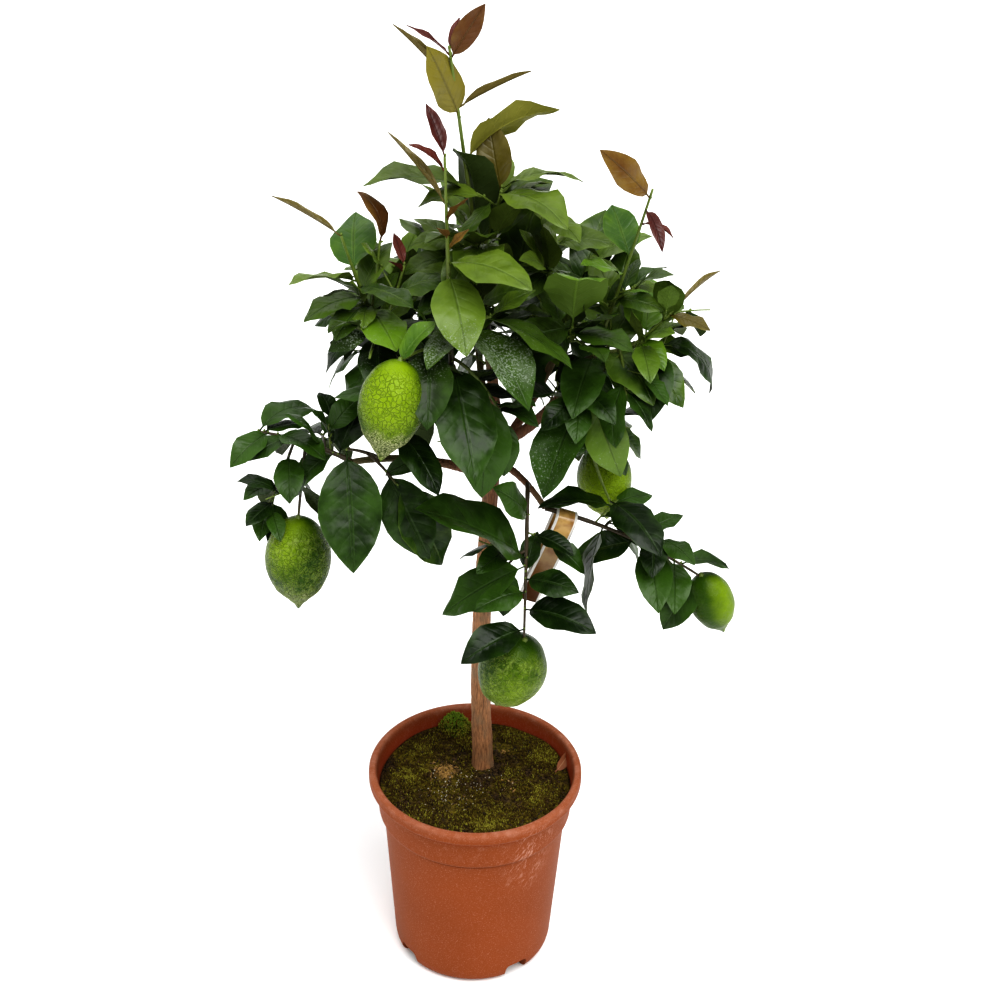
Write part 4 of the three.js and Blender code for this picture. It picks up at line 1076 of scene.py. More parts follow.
def leaf_finish(tint, under):
    """Glossy upper face, or dull and paler under face, of a leaf with its midrib and side veins."""
    finish = Finish("leaf_" + tint + ("_under" if under else "_upper"))
    dark, light, vein_colour, pale = TINTS[tint]
    across, along, tone = finish.split(finish.kept("blade", "Vector"))
    edge = abs(across)
    place = finish.coords()
    cloud = finish.noise(place, 60, 3)
    swell = finish.noise(place, 62, 2, 0.35)
    grain = finish.noise(place, 1400, 2)
    rib = 1 - edge.smooth(0.015, 0.06)
    saw = ((along - edge * VEIN_SLANT) * VEIN_PAIRS).math("FRACT")
    near = abs(saw - 0.5) * 2
    vein = near.smooth(0.86, 1) * (1 - edge.smooth(0.5, 0.95))
    bulge = (1 - near.math("POWER", 3)) * (1 - edge.smooth(0.6, 1))
    if under:
        colour = finish.mix(cloud * 0.5 + tone * 0.3, pale, tinted(pale, 0.62))
        colour = finish.mix((rib + vein * 0.4) * 0.5, colour, tinted(pale, 1.35))
        height = (rib + vein * 0.4 - bulge * 0.3) * 0.3 + swell + grain * 0.04
        return finish.surface(colour, grain * 0.15 + 0.5, height, MM, Specular_IOR_Level=0.2)
    shade = (tone * 0.9 + cloud * 1.3 + edge * 0.25 - 0.7).smooth(0, 1)
    colour = finish.mix(shade, dark, light)
    if tint in ("deep", "mid"):
        # Leaves near the crown's top turn lighter: younger growth, and painted light from above
        young = finish.split(place)[2].smooth(0.64, 0.8) * (tone * 0.5 + cloud * 0.5)
        colour = finish.mix(young, colour, YOUNG_AND_TOP_LIGHT)
    bend = (edge - 0.06).smooth(0.05, 0) * (1 - rib)
    colour = finish.mix(bend * 0.3 + vein * 0.08 + edge.smooth(0.95, 1) * 0.4, colour, vein_colour)
    colour = finish.mix(rib * 0.55, colour, tinted(light, 0.5))
    dust = finish.kept("dust")
    flecks = finish.noise(place, 620, 4, 0.7)
    crust = (flecks + dust * 0.2 + along * 0.08 + across * 0.02).smooth(0.71, 0.84) * dust.smooth(0.02, 0.3)
    colour = finish.mix(crust * 0.55, colour, CRUST)
    height = swell * 2.6 + bulge * 0.16 + edge.smooth(0, 0.09) * 0.35 + grain * 0.015 + crust * 0.1
    roughness = cloud * 0.3 + grain * 0.06 + crust * 0.4 + 0.18
    return finish.surface(colour, roughness, height, MM, Specular_IOR_Level=0.26 if tint == "deep" else 0.36)


def twig_finish():
    """Green young wood, browner where it is thick."""
    finish = Finish("green_twig")
    place = finish.coords()
    streak = finish.noise(place, 260, 3)
    along, tone = finish.split(finish.kept("blade", "Vector"))[1:]
    colour = finish.mix(streak, (0.08, 0.13, 0.016), (0.17, 0.22, 0.035))
    colour = finish.mix((tone + streak * 0.4 - along).smooth(0.3, 1.1), colour, (0.05, 0.035, 0.014))
    return finish.surface(colour, streak * 0.2 + 0.4, finish.noise(place, 900, 2), 0.0002)


def bark_finish(sizes):
    """Fine upright fissures in grey-brown bark, redder at the fork and greener on the boughs."""
    finish = Finish("bark")
    along = finish.coords((1, 1, 0.1))
    grain = finish.noise(along, 900, 6, 0.7)
    patch = finish.noise(finish.coords((1, 1, 0.5)), 75, 3)
    height = finish.split(finish.coords())[2]
    dark = tinted(sizes.old, 0.45)
    light = tinted(sizes.old, 1.5)
    colour = finish.mix(grain.smooth(0.3, 0.7), dark, light)
    colour = finish.mix(patch.smooth(0.45, 0.75) * 0.45, colour, (0.2, 0.17, 0.11))
    fork = height.smooth(0.44, 0.53) * 0.6
    colour = finish.mix(fork, colour, finish.mix(grain, (0.05, 0.017, 0.008), (0.15, 0.055, 0.025)))
    young = finish.kept("age")
    twig = finish.mix(patch, sizes.young, tinted(sizes.young, 1.9))
    colour = finish.mix(young.smooth(0.25, 0.8) * 0.85, colour, twig)
    return finish.surface(colour, grain * 0.2 + 0.62, grain, 0.0006)


def rind_finish(sizes):
    """Lemon rind: a net of sunken lines round paler-rimmed cells, corky towards the nipple."""
    finish = Finish("lemon_rind")
    place = finish.coords()
    net, ripe, end, pale = (finish.kept(name) for name in RIND_MARKS)
    patch = finish.noise(place, 38, 3)
    jitter = finish.add("ShaderNodeTexNoise", None, {"Vector": place, "Scale": 150.0}, 1)
    shift = finish.add("ShaderNodeVectorMath", {"operation": "SCALE"}, {0: jitter, "Scale": 0.009})
    warp = finish.add("ShaderNodeVectorMath", {"operation": "ADD"}, {0: place, 1: shift})
    border = finish.cracks(warp, 225)
    fine = finish.cracks(warp, 400)
    mottle = finish.noise(place, 95, 4, 0.6)
    line = (1 - border.smooth(0.01, 0.06)) * net * patch.smooth(0.3, 0.65)
    cell_rim = border.smooth(0.03, 0.09) * (1 - border.smooth(0.12, 0.3)) * net * mottle.smooth(0.35, 0.55)
    pores = finish.add("ShaderNodeTexVoronoi", None, {"Vector": place, "Scale": 850.0})
    # From the darkest to the ripe rind: ripeness, painted lighter on each lemon's lit side and darker at its
    # edges as shade
    colour = finish.mix((ripe + patch * 0.35 + mottle * 0.35 - 0.35).smooth(0, 1), sizes.shade, sizes.rind)
    colour = finish.mix(line * 0.38, colour, (0.03, 0.075, 0.003))
    colour = finish.mix(cell_rim * (pale * 0.4 + 0.25), colour, (0.3, 0.39, 0.06))
    cork = (end + mottle * 0.4).smooth(0.8, 0.98) * net
    corky = finish.mix(fine.smooth(0.03, 0.16), (0.05, 0.075, 0.008), (0.4, 0.42, 0.22))
    colour = finish.mix(cork * (0.9 - pale * 1.1), colour, corky)
    colour = finish.mix(pale.smooth(0.25, 0.7) * 0.5, colour, (0.27, 0.34, 0.09))
    height = border.smooth(0.0, 0.14) * net * 0.7 + mottle * 1.1 + pores.smooth(0.1, 0.6) * 0.12
    return finish.surface(colour, patch * 0.15 + cork * 0.25 + 0.25, height, MM, Specular_IOR_Level=0.15)


def plastic_finish(sizes):
    """Matt terracotta-coloured plastic with fine specks, dust and rubbed places at one shoulder, a painted
    highlight along the lip and painted shadow lines under the lip and the shoulder.
    """
    finish = Finish("terracotta_plastic")
    place = finish.coords()
    x, y, z = finish.split(place)
    specks = finish.noise(place, 900, 3, 0.7)
    cloud = finish.noise(place, 16, 4)
    colour = finish.mix(cloud, tinted(sizes.plastic, 0.86), tinted(sizes.plastic, 1.1))
    colour = finish.mix(specks.smooth(0.52, 0.74) * 0.3, colour, sizes.scuff)
    colour = finish.mix(specks.smooth(0.36, 0.2) * 0.3, colour, tinted(sizes.plastic, 0.45))
    inside = (x * x + y * y).math("SQRT").smooth(0.0935, 0.0905) * z.smooth(0.185, 0.19)
    colour = finish.mix(inside * 0.45, colour, (0.33, 0.045, 0.018))
    reach = ((x - 0.052).math("POWER", 2) * 900 + (y + 0.075).math("POWER", 2) * 500
             + (z - 0.162).math("POWER", 2) * 260)
    slant = {"Vector": place, "Rotation": (0, 0.6, 0), "Scale": (1, 1, 18)}
    slanted = finish.add("ShaderNodeMapping", {"vector_type": "TEXTURE"}, slant)
    streaks = finish.noise(slanted, 520, 4, 0.75) * 1.25 + finish.noise(place, 70, 3, 0.6) * 0.65
    scuff = reach.smooth(1, 0) * streaks.smooth(0.96, 1.2)
    # Painted highlight along the top of the lip, with some pale dust
    lip = z.smooth(0.198, 0.205) * (finish.noise(place, 90, 4).smooth(0.4, 0.8) * 0.2 + 0.08) * (1 - inside)
    dust = z.smooth(0.14, 0.17) * finish.noise(place, 170, 5, 0.75).smooth(0.48, 0.8) * 0.14
    colour = finish.mix(scuff * 0.5 + lip + dust, colour, sizes.scuff)
    # Painted shadow lines under the overhanging lip and under the shoulder's step
    crease_shadows = sum(1 - abs(z - (sizes.height - down)).smooth(0.0003, 0.0024) for down in (0.0138, 0.049))
    colour = finish.mix(crease_shadows * (1 - inside) * 0.5, colour, tinted(sizes.plastic, 0.25))
    roughness = specks * 0.15 + scuff * 0.1 + 0.42
    return finish.surface(colour, roughness, specks * 0.5 + scuff * 0.5, 0.00012, Specular_IOR_Level=0.06)


def earth_finish(sizes):
    """Dark moist potting mix under patches of moss, and a tan patch by the trunk."""
    finish = Finish("potting_mix")
    place = finish.coords()
    x, y, _ = finish.split(place)
    patch = finish.noise(place, 34, 5, 0.65)
    grain = finish.noise(place, 380, 5, 0.75)
    rough = grain.smooth(0.38, 0.66)
    colour = finish.mix(rough, tinted(sizes.earth, 0.25), tinted(sizes.earth, 3))
    moss = finish.mix(rough, tinted(sizes.moss, 0.3), tinted(sizes.moss, 1.3))
    colour = finish.mix(patch.smooth(0.42, 0.56) * 0.8, colour, moss)
    tan = ((x + 0.028).math("POWER", 2) + (y - 0.012).math("POWER", 2)).math("SQRT")
    colour = finish.mix((tan + grain * 0.012).smooth(0.022, 0.008) * 0.8 * rough, colour, (0.42, 0.25, 0.07))
    return finish.surface(colour, 0.9, grain, 0.003, Specular_IOR_Level=0.15)


def tuft_finish(sizes):
    """Moss, from yellow-green tips to dark brown feet, darkened further as painted shade in the hollows
    between tufts.
    """
    finish = Finish("moss")
    along, tone = finish.split(finish.kept("blade", "Vector"))[1:]
    patch = finish.noise(finish.coords(), 60, 4, 0.65)
    light = tone + patch - 0.5
    colour = finish.mix(light.smooth(0.1, 0.7), (0.085, 0.05, 0.015), sizes.moss)
    colour = finish.mix(light.smooth(0.5, 0.95), colour, (0.46, 0.44, 0.07))
    colour = finish.mix(tone.smooth(1.1, 1.5), colour, (0.22, 0.33, 0.035))
    # Painted shade: each tuft darkens to near black at its foot, in the hollows between tufts
    colour = finish.mix((1 - along) * 0.75, colour, (0.01, 0.006, 0.002))
    return finish.surface(colour, 0.8, Specular_IOR_Level=0.15)


def crumb_finish():
    """Crumbs from black peat through bark and straw to white perlite, by their tone."""
    finish = Finish("crumbs")
    tone = finish.split(finish.kept("blade", "Vector"))[2]
    grain = finish.noise(finish.coords(), 700, 3)
    colour = finish.mix(tone.smooth(0.1, 0.5), (0.014, 0.009, 0.006), (0.09, 0.052, 0.024))
    colour = finish.mix(tone.smooth(0.5, 0.75), colour, (0.38, 0.23, 0.07))
    colour = finish.mix(tone.smooth(0.8, 0.95), colour, (0.6, 0.57, 0.48))
    return finish.surface(colour, grain * 0.2 + 0.7, grain, 0.0003)


def dry_finish():
    """Dry leaf, red-brown and dull."""
    finish = Finish("dry_leaf")
    cloud = finish.noise(finish.coords(), 160, 4)
    edge = abs(finish.split(finish.kept("blade", "Vector"))[0])
    colour = finish.mix(cloud, (0.17, 0.055, 0.022), (0.34, 0.15, 0.07))
    colour = finish.mix(1 - edge.smooth(0.02, 0.12), colour, (0.4, 0.22, 0.12))
    return finish.surface(colour, 0.6, cloud, 0.0004)


def card_finish():
    """Glossy printed strip with a white border round a plain ochre field that turns darker brown towards both
    hanging ends.
    """
    finish = Finish("label_card")
    across, along, _ = finish.split(finish.kept("blade", "Vector"))
    field = abs(across).smooth(0.8, 0.74)
    cloud = finish.noise(finish.coords(), 60, 3)
    ochre = finish.mix(cloud.smooth(0.4, 0.6), (0.3, 0.15, 0.04), (0.56, 0.36, 0.13))
    # Darker towards the bottom of both hanging ends
    low = abs(along - 0.5) * 2
    ochre = finish.mix((low + cloud * 0.4).smooth(0.45, 1.05), ochre, (0.1, 0.04, 0.015))
    colour = finish.mix(field, (0.78, 0.76, 0.72), ochre)
    return finish.surface(colour, 0.22, cloud, 0.00005)


def floor_finish():
    """Pale even floor."""
    finish = Finish("pale_floor")
    cloud = finish.noise(finish.coords(), 3, 2)
    return finish.surface(finish.mix(cloud, (0.93, 0.93, 0.93), (0.95, 0.95, 0.95)), 0.85)


# Shapes made with bmesh operators

def turned(outline, steps):
    """Closed solid that a half outline, from axis to axis, makes when it is spun about the axis."""
    bm = bmesh.new()
    verts = [bm.verts.new((x, 0, z)) for x, z in outline]
    edges = [bm.edges.new(pair) for pair in zip(verts, verts[1:])]
    bmesh.ops.spin(bm, geom=verts + edges, cent=(0, 0, 0), axis=(0, 0, 1), angle=2 * math.pi, steps=steps,
                   use_merge=True)
    bmesh.ops.remove_doubles(bm, verts=bm.verts[:], dist=1e-6)
    bmesh.ops.recalc_face_normals(bm, faces=bm.faces[:])
    return bm


def rounded(corners, steps=4):
    """Outline through corners (radius, height, rounding), each rounded corner an arc of a few steps."""
    line = []
    for i, (x, z, rounding) in enumerate(corners):
        here = Vector((x, z))
        if not rounding:
            line.append(here)
            continue
        back, on = (Vector(corners[i + k][:2]) - here for k in (-1, 1))
        cut = min(rounding, back.length * 0.48, on.length * 0.48)
        start, end = here + back.normalized() * cut, here + on.normalized() * cut
        for k in range(steps + 1):
            t = k / steps
            line.append(start * (1 - t) ** 2 + here * 2 * t * (1 - t) + end * t * t)
    return [point * MM for point in line]


def combined(name, body, *steps):
    """Piece of a bmesh joined with, cut by or kept to others, one after another."""
    piece = object_of(name, body)
    for operation, other in steps:
        tool = object_of("tool", other) if isinstance(other, bmesh.types.BMesh) else other
        change = piece.modifiers.new("combine", "BOOLEAN")
        change.operation = operation
        change.solver = "MANIFOLD"
        change.object = tool
        baked(piece)
        mesh = tool.data
        bpy.data.objects.remove(tool)
        bpy.data.meshes.remove(mesh)
    return piece


# Drainage notches of the foot: width, height, distance from the axis, depth and how far the block goes
# below the foot in millimetres, rounding of their tops, and the bearing of the first
NOTCH_COUNT = 4
NOTCH_WIDTH = 24
NOTCH_HEIGHT = 16
NOTCH_START = 58
NOTCH_DEPTH = 50
NOTCH_BELOW = 4
NOTCH_ROUNDING = 5
NOTCH_TURN = 35


def notches(margin):
    """Round-topped block at each drainage notch, larger all round by a margin."""
    bm = bmesh.new()
    width, depth = NOTCH_WIDTH + 2 * margin, NOTCH_DEPTH + margin
    height = NOTCH_HEIGHT + NOTCH_BELOW + margin
    place = Matrix.Translation((NOTCH_START - margin + depth / 2, 0, height / 2 - NOTCH_BELOW))
    for i in range(NOTCH_COUNT):
        block = bmesh.ops.create_cube(bm, size=1, matrix=place @ Matrix.Diagonal((depth, width, height, 1)))
        ridges = {edge for vert in block["verts"] for edge in vert.link_edges
                  if abs((edge.verts[0].co - edge.verts[1].co).x) > 1 and edge.verts[0].co.z > 0}
        top = bmesh.ops.bevel(bm, geom=list(ridges), offset=NOTCH_ROUNDING, segments=5, profile=0.5,
                              affect="EDGES", material=-1)
        verts = {vert for face in top["faces"] for vert in face.verts}
        verts |= {vert for vert in block["verts"] if vert.is_valid}
        turn = Matrix.Rotation(math.radians(NOTCH_TURN + 360 / NOTCH_COUNT * i), 4, "Z")
        bmesh.ops.transform(bm, matrix=Matrix.Scale(MM, 4) @ turn, verts=list(verts))
    return bm


# The soil's top: its height at the trunk, the radius that is level there, and where it meets the wall
SOIL_HEIGHT = 190
SOIL_LEVEL = 14
SOIL_REACH = 87
# How near the trunk's middle moss and crumbs may lie
TRUNK_CLEAR = 11


def from_trunk(x, y):
    return math.hypot(x - TRUNK[0][0], y - TRUNK[0][1])


def soil_top(x, y):
    """Height of the soil's top at a place, all in millimetres, as on the solid."""
    away = from_trunk(x, y)
    share = clipped((away - SOIL_LEVEL) / SOIL_LEVEL)
    level = share * share * (3 - 2 * share)
    waves = math.sin(x / 19 + 1) * math.cos(y / 23) + 0.6 * math.sin((x - y) / 13)
    return SOIL_HEIGHT + level * (1.4 * waves - 2.5 * (away / 100) ** 2)


def lumpy_top(x, y):
    """Height of the soil with its lumps and hollows."""
    lumps = noise.fractal(Vector((x, y, 3)) / 15, 0.7, 2.1, 5) * 2.4
    edge = clipped((89 - math.hypot(x, y)) / 6)
    return soil_top(x, y) + lumps * edge


# Operators, one for each piece or group of like pieces

class StageOperator(bpy.types.Operator):
    """Sets up the camera, the floor and the light"""
    bl_idname = "lemon_tree.stage"
    bl_label = "Stage"

    FLOOR = 60
    # Soft lights: side that each comes from, how far it spreads in degrees, and the field of its strength
    LIGHTS = {
        "key_light": ((0.45, -0.7, 1.3), 50, "key"),
        "fill_light": ((-1.2, -0.5, 0.9), 80, "fill"),
        "back_light": ((-0.25, 1, 0.75), 45, "back"),
    }

    def execute(self, context):
        sizes = context.scene.lemon_stage
        bm = bmesh.new()
        bmesh.ops.create_grid(bm, x_segments=1, y_segments=1, size=self.FLOOR)
        object_of("floor", bm, floor_finish())
        camera = bpy.data.cameras.new("camera")
        camera.sensor_width = 36
        camera.lens = sizes.lens
        seen = bpy.data.objects.new("camera", camera)
        forward = Vector((math.sin(sizes.yaw), math.cos(sizes.yaw), -math.tan(sizes.pitch)))
        turn = forward.to_track_quat("-Z", "Y") @ Quaternion((0, 0, 1), sizes.roll)
        place = Matrix.Translation((0, -sizes.distance, sizes.height))
        seen.matrix_world = place @ turn.to_matrix().to_4x4()
        context.scene.collection.objects.link(seen)
        context.scene.camera = seen
        for name, (side, spread, power) in self.LIGHTS.items():
            self.light(context, name, side, spread, getattr(sizes, power))
        world = bpy.data.worlds.new("studio")
        world.use_nodes = True
        nodes, links = world.node_tree.nodes, world.node_tree.links
        sky = nodes["Background"]
        height = nodes.new("ShaderNodeSeparateXYZ")
        links.new(nodes.new("ShaderNodeTexCoord").outputs["Generated"], height.inputs[0])
        rise = nodes.new("ShaderNodeMapRange")
        rise.interpolation_type = "SMOOTHSTEP"
        links.new(height.outputs["Z"], rise.inputs["Value"])
        rise.inputs["To Min"].default_value = sizes.horizon
        rise.inputs["To Max"].default_value = sizes.sky
        links.new(rise.outputs[0], sky.inputs["Strength"])
        sky.inputs["Color"].default_value = (1, 1, 1, 1)
        context.scene.world = world
        context.scene.view_settings.view_transform = "Standard"
        context.scene.view_settings.look = "High Contrast"
        return {"FINISHED"}

    def light(self, context, name, side, spread, power):
        """Soft even light from one side, spread over an angle in degrees."""
        lamp = bpy.data.lights.new(name, "SUN")
        lamp.angle = math.radians(spread)
        lamp.energy = power
        held = bpy.data.objects.new(name, lamp)
        held.location = side
        held.rotation_euler = (-Vector(side)).to_track_quat("-Z", "Y").to_euler()
        context.scene.collection.objects.link(held)


class PotOperator(bpy.types.Operator):
    """Builds the nursery pot, with its lip, shoulder and drainage notches"""
    bl_idname = "lemon_tree.pot"
    bl_label = "Pot"

    STEPS = 128
    SHARP = 38

    def execute(self, context):
        sizes = context.scene.lemon_pot
        rim, height, wall = sizes.rim / MM, sizes.height / MM, sizes.wall / MM
        shell = turned(rounded([
            (0, 0, 0), (rim - 32.5, 0, 3), (rim - 26.5, 4, 4), (rim - 24.5, 11, 4),
            (rim - 14, height - 48.6, 1.2), (rim - 10.6, height - 46.6, 1), (rim - 9.2, height - 43.5, 1.5),
            (rim - 7.6, height - 13, 0.8), (rim - 1.4, height - 12.4, 1), (rim, height - 10, 1.6),
            (rim, height - 1.6, 1.6), (rim - 2.2, height, 1.6), (rim - 5.9, height, 1.6),
            (rim - 7.3, height - 2.2, 2), (rim - 7.5 - wall, height - 16, 3),
            (rim - 9.5 - wall, height - 43, 2), (rim - 14 - wall, height - 50, 3),
            (rim - 24.5 - wall, 12, 4), (rim - 31, 2.5, 4), (0, 2.5, 0),
        ]), self.STEPS)
        foot = turned(rounded([
            (0, 0.2, 0), (rim - 33, 0.2, 0), (rim - 27, 4, 3), (rim - 25, 11, 3), (rim - 24.6, 18, 0),
            (0, 18, 0),
        ]), self.STEPS)
        pockets = combined("pockets", notches(wall), ("INTERSECT", foot))
        pot = combined("pot_shell", shell, ("UNION", pockets), ("DIFFERENCE", notches(0)))
        pot.data.materials.clear()
        pot.data.materials.append(plastic_finish(sizes))
        pot.data.set_sharp_from_angle(angle=math.radians(self.SHARP))
        settle(pot, "pot", "pot")
        return {"FINISHED"}


class SoilOperator(bpy.types.Operator):
    """Builds the potting mix with its lumpy top"""
    bl_idname = "lemon_tree.soil"
    bl_label = "Soil"

    STEPS = 256
    RINGS = 44

    def execute(self, context):
        sizes = context.scene.lemon_soil
        side = [(0, 13, 0), (72.5, 13, 0), (83, 156, 0), (88, 163, 0)]
        top = [(89.4 * (1 - k / self.RINGS), SOIL_HEIGHT, 0) for k in range(self.RINGS + 1)]
        bm = turned(rounded(side + top), self.STEPS)
        for vert in bm.verts:
            x, y, z = vert.co / MM
            if z > SOIL_HEIGHT - 10:
                vert.co.z = lumpy_top(x, y) * MM
        bmesh.ops.triangulate(bm, faces=bm.faces[:])
        settle(object_of("potting_mix", bm, earth_finish(sizes)), "soil", "soil")
        return {"FINISHED"}


class MossOperator(bpy.types.Operator):
    """Strews moss and crumbs over the soil, and leans the dry leaf on the wall"""
    bl_idname = "lemon_tree.moss"
    bl_label = "Moss and crumbs"

    # Patches in millimetres: middle, radius, and how thick the moss grows there
    PATCHES = [
        ((-21, 80), 17, 2.5), ((-64, 2), 26, 1), ((-45, -50), 26, 0.5), ((10, -60), 36, 0.8),
        ((60, -20), 28, 0.8), ((62, 34), 26, 0.9), ((40, 74), 22, 0.8), ((-52, 50), 24, 0.7),
        ((-10, 58), 22, 0.6), ((30, 5), 20, 0.5),
    ]
    # The mound by the wall with its height, and the patches where little moss grows
    CLUMP = ((-21, 80), 17, 17)
    BARE = [((-28, 12), 14), ((15, 10), 12), ((24, 50), 11)]
    PERLITE = [(-23, -14), (-12, -8), (-31, -3), (-8, -20), (-40, -26), (-34, -38), (26, -2), (-18, 2)]
    CHIPS = [(30, 0), (37, -13), (26, 45)]
    STRAW = (-28, 12)
    DRY_LEAF = (76, 15)
    # Points of a tuft
    TUFT = 10

    def execute(self, context):
        sizes = context.scene.lemon_soil
        chance = np.random.default_rng(SEED)
        tufts, crumbs = Skins(), Skins()
        while tufts.count < sizes.tufts * self.TUFT:
            self.add_tuft(tufts, chance)
        for _ in range(sizes.crumbs):
            self.add_crumb(crumbs, chance)
        settle(tufts.piece("moss", [tuft_finish(sizes)]), "soil")
        settle(crumbs.piece("crumbs", [crumb_finish()]), "soil")
        foot = Vector((*self.DRY_LEAF, soil_top(*self.DRY_LEAF) + 1.5)) * MM
        leaf = Leaf(foot, heading(58, 16), 30 * MM, "bronze", bend=20, roll=50)
        dry = Skins()
        add_leaf(dry, leaf, context.scene.lemon_leaves, chance)
        finish = dry_finish()
        settle(dry.piece("dry_leaf", [finish, finish]), "soil")
        return {"FINISHED"}

    def anywhere(self, chance):
        """Place on the soil, as likely here as there."""
        away, turn = SOIL_REACH * math.sqrt(chance.uniform()), chance.uniform(0, 2 * math.pi)
        return away * math.cos(turn), away * math.sin(turn)

    def add_tuft(self, tufts, chance):
        """One little cone of moss, where the patches let it grow."""
        x, y = self.anywhere(chance)
        if from_trunk(x, y) < TRUNK_CLEAR:
            return
        thick = 0.18 + sum(power * max(0, 1 - math.dist((x, y), spot) / radius)
                           for spot, radius, power in self.PATCHES)
        thick -= sum(max(0, 1 - math.dist((x, y), spot) / radius) * 1.5 for spot, radius in self.BARE)
        thick += noise.noise(Vector((x, y, 9)) / 9) * 0.5
        if chance.uniform() > thick:
            return
        spot, radius, height = self.CLUMP
        rise = height * max(0, 1 - (math.dist((x, y), spot) / radius) ** 2)
        foot = Vector((x, y, lumpy_top(x, y) + rise - 0.5))
        lean = Vector((chance.normal(0, 0.4), chance.normal(0, 0.4), 1)).normalized()
        length, radius = chance.uniform(1.4, 4), chance.uniform(0.35, 0.65)
        across = square(Vector((1, 0, 0)), lean)
        aside = lean.cross(across)
        ring = [foot + (across * math.cos(a) + aside * math.sin(a)) * radius for a in (0, 2.1, 4.2)]
        waist = [foot + lean * length * 0.55 + (across * math.cos(a) + aside * math.sin(a)) * radius * 0.9
                 for a in (0.4, 2.5, 4.6)]
        tone = clipped(0.1 + 0.5 * thick + chance.normal(0, 0.28)) + (0.7 if rise > 1 else 0)
        marks = np.array([(0, 0, tone, 0)] * 3 + [(0, 0.6, tone, 0)] * 3 + [(0, 1, tone, 0)])
        tufts.add(np.array([ring, waist]) * MM, marks, tip=np.array(foot + lean * length) * MM)

    def add_crumb(self, crumbs, chance):
        """One crumb of peat or bark, and pale ones at their own places."""
        x, y = self.anywhere(chance)
        kind = chance.uniform()
        size, tone = chance.uniform(0.4, 1.5), chance.uniform(0, 0.55)
        if kind < 0.02:
            spot = self.CHIPS[int(chance.integers(len(self.CHIPS)))]
            x, y = spot[0] + chance.normal(0, 3), spot[1] + chance.normal(0, 2.5)
            size, tone = chance.uniform(0.6, 1.8), chance.uniform(0.6, 0.84)
        elif kind < 0.17:
            spot = self.PERLITE[int(chance.integers(len(self.PERLITE)))]
            x, y = spot[0] + chance.normal(0, 14), spot[1] + chance.normal(0, 13)
            size, tone = chance.uniform(0.35, 1), chance.uniform(0.8, 1)
        elif kind < 0.3:
            x, y = self.STRAW[0] + chance.normal(0, 6.5), self.STRAW[1] + chance.normal(0, 5.5)
            size, tone = chance.uniform(0.5, 1.6), chance.uniform(0.6, 0.78)
        if from_trunk(x, y) < TRUNK_CLEAR or math.hypot(x, y) > SOIL_REACH:
            return
        centre = Vector((x, y, lumpy_top(x, y) + size * 0.2))
        axis = Vector(chance.normal(size=3)).normalized()
        across = beside(axis)
        aside = axis.cross(across)
        rings = []
        for place, spread in ((-0.8, 0.55), (0, 1), (0.8, 0.5)):
            middle = centre + axis * place * size
            turn = chance.uniform(0, 1)
            rings.append([middle + (across * math.cos(a + turn) + aside * math.sin(a + turn) * 0.7)
                          * size * spread * chance.uniform(0.6, 1) for a in even_angles(5)])
        crumbs.add(np.array(rings) * MM, np.tile((0, 0, tone, 0), (15, 1)))


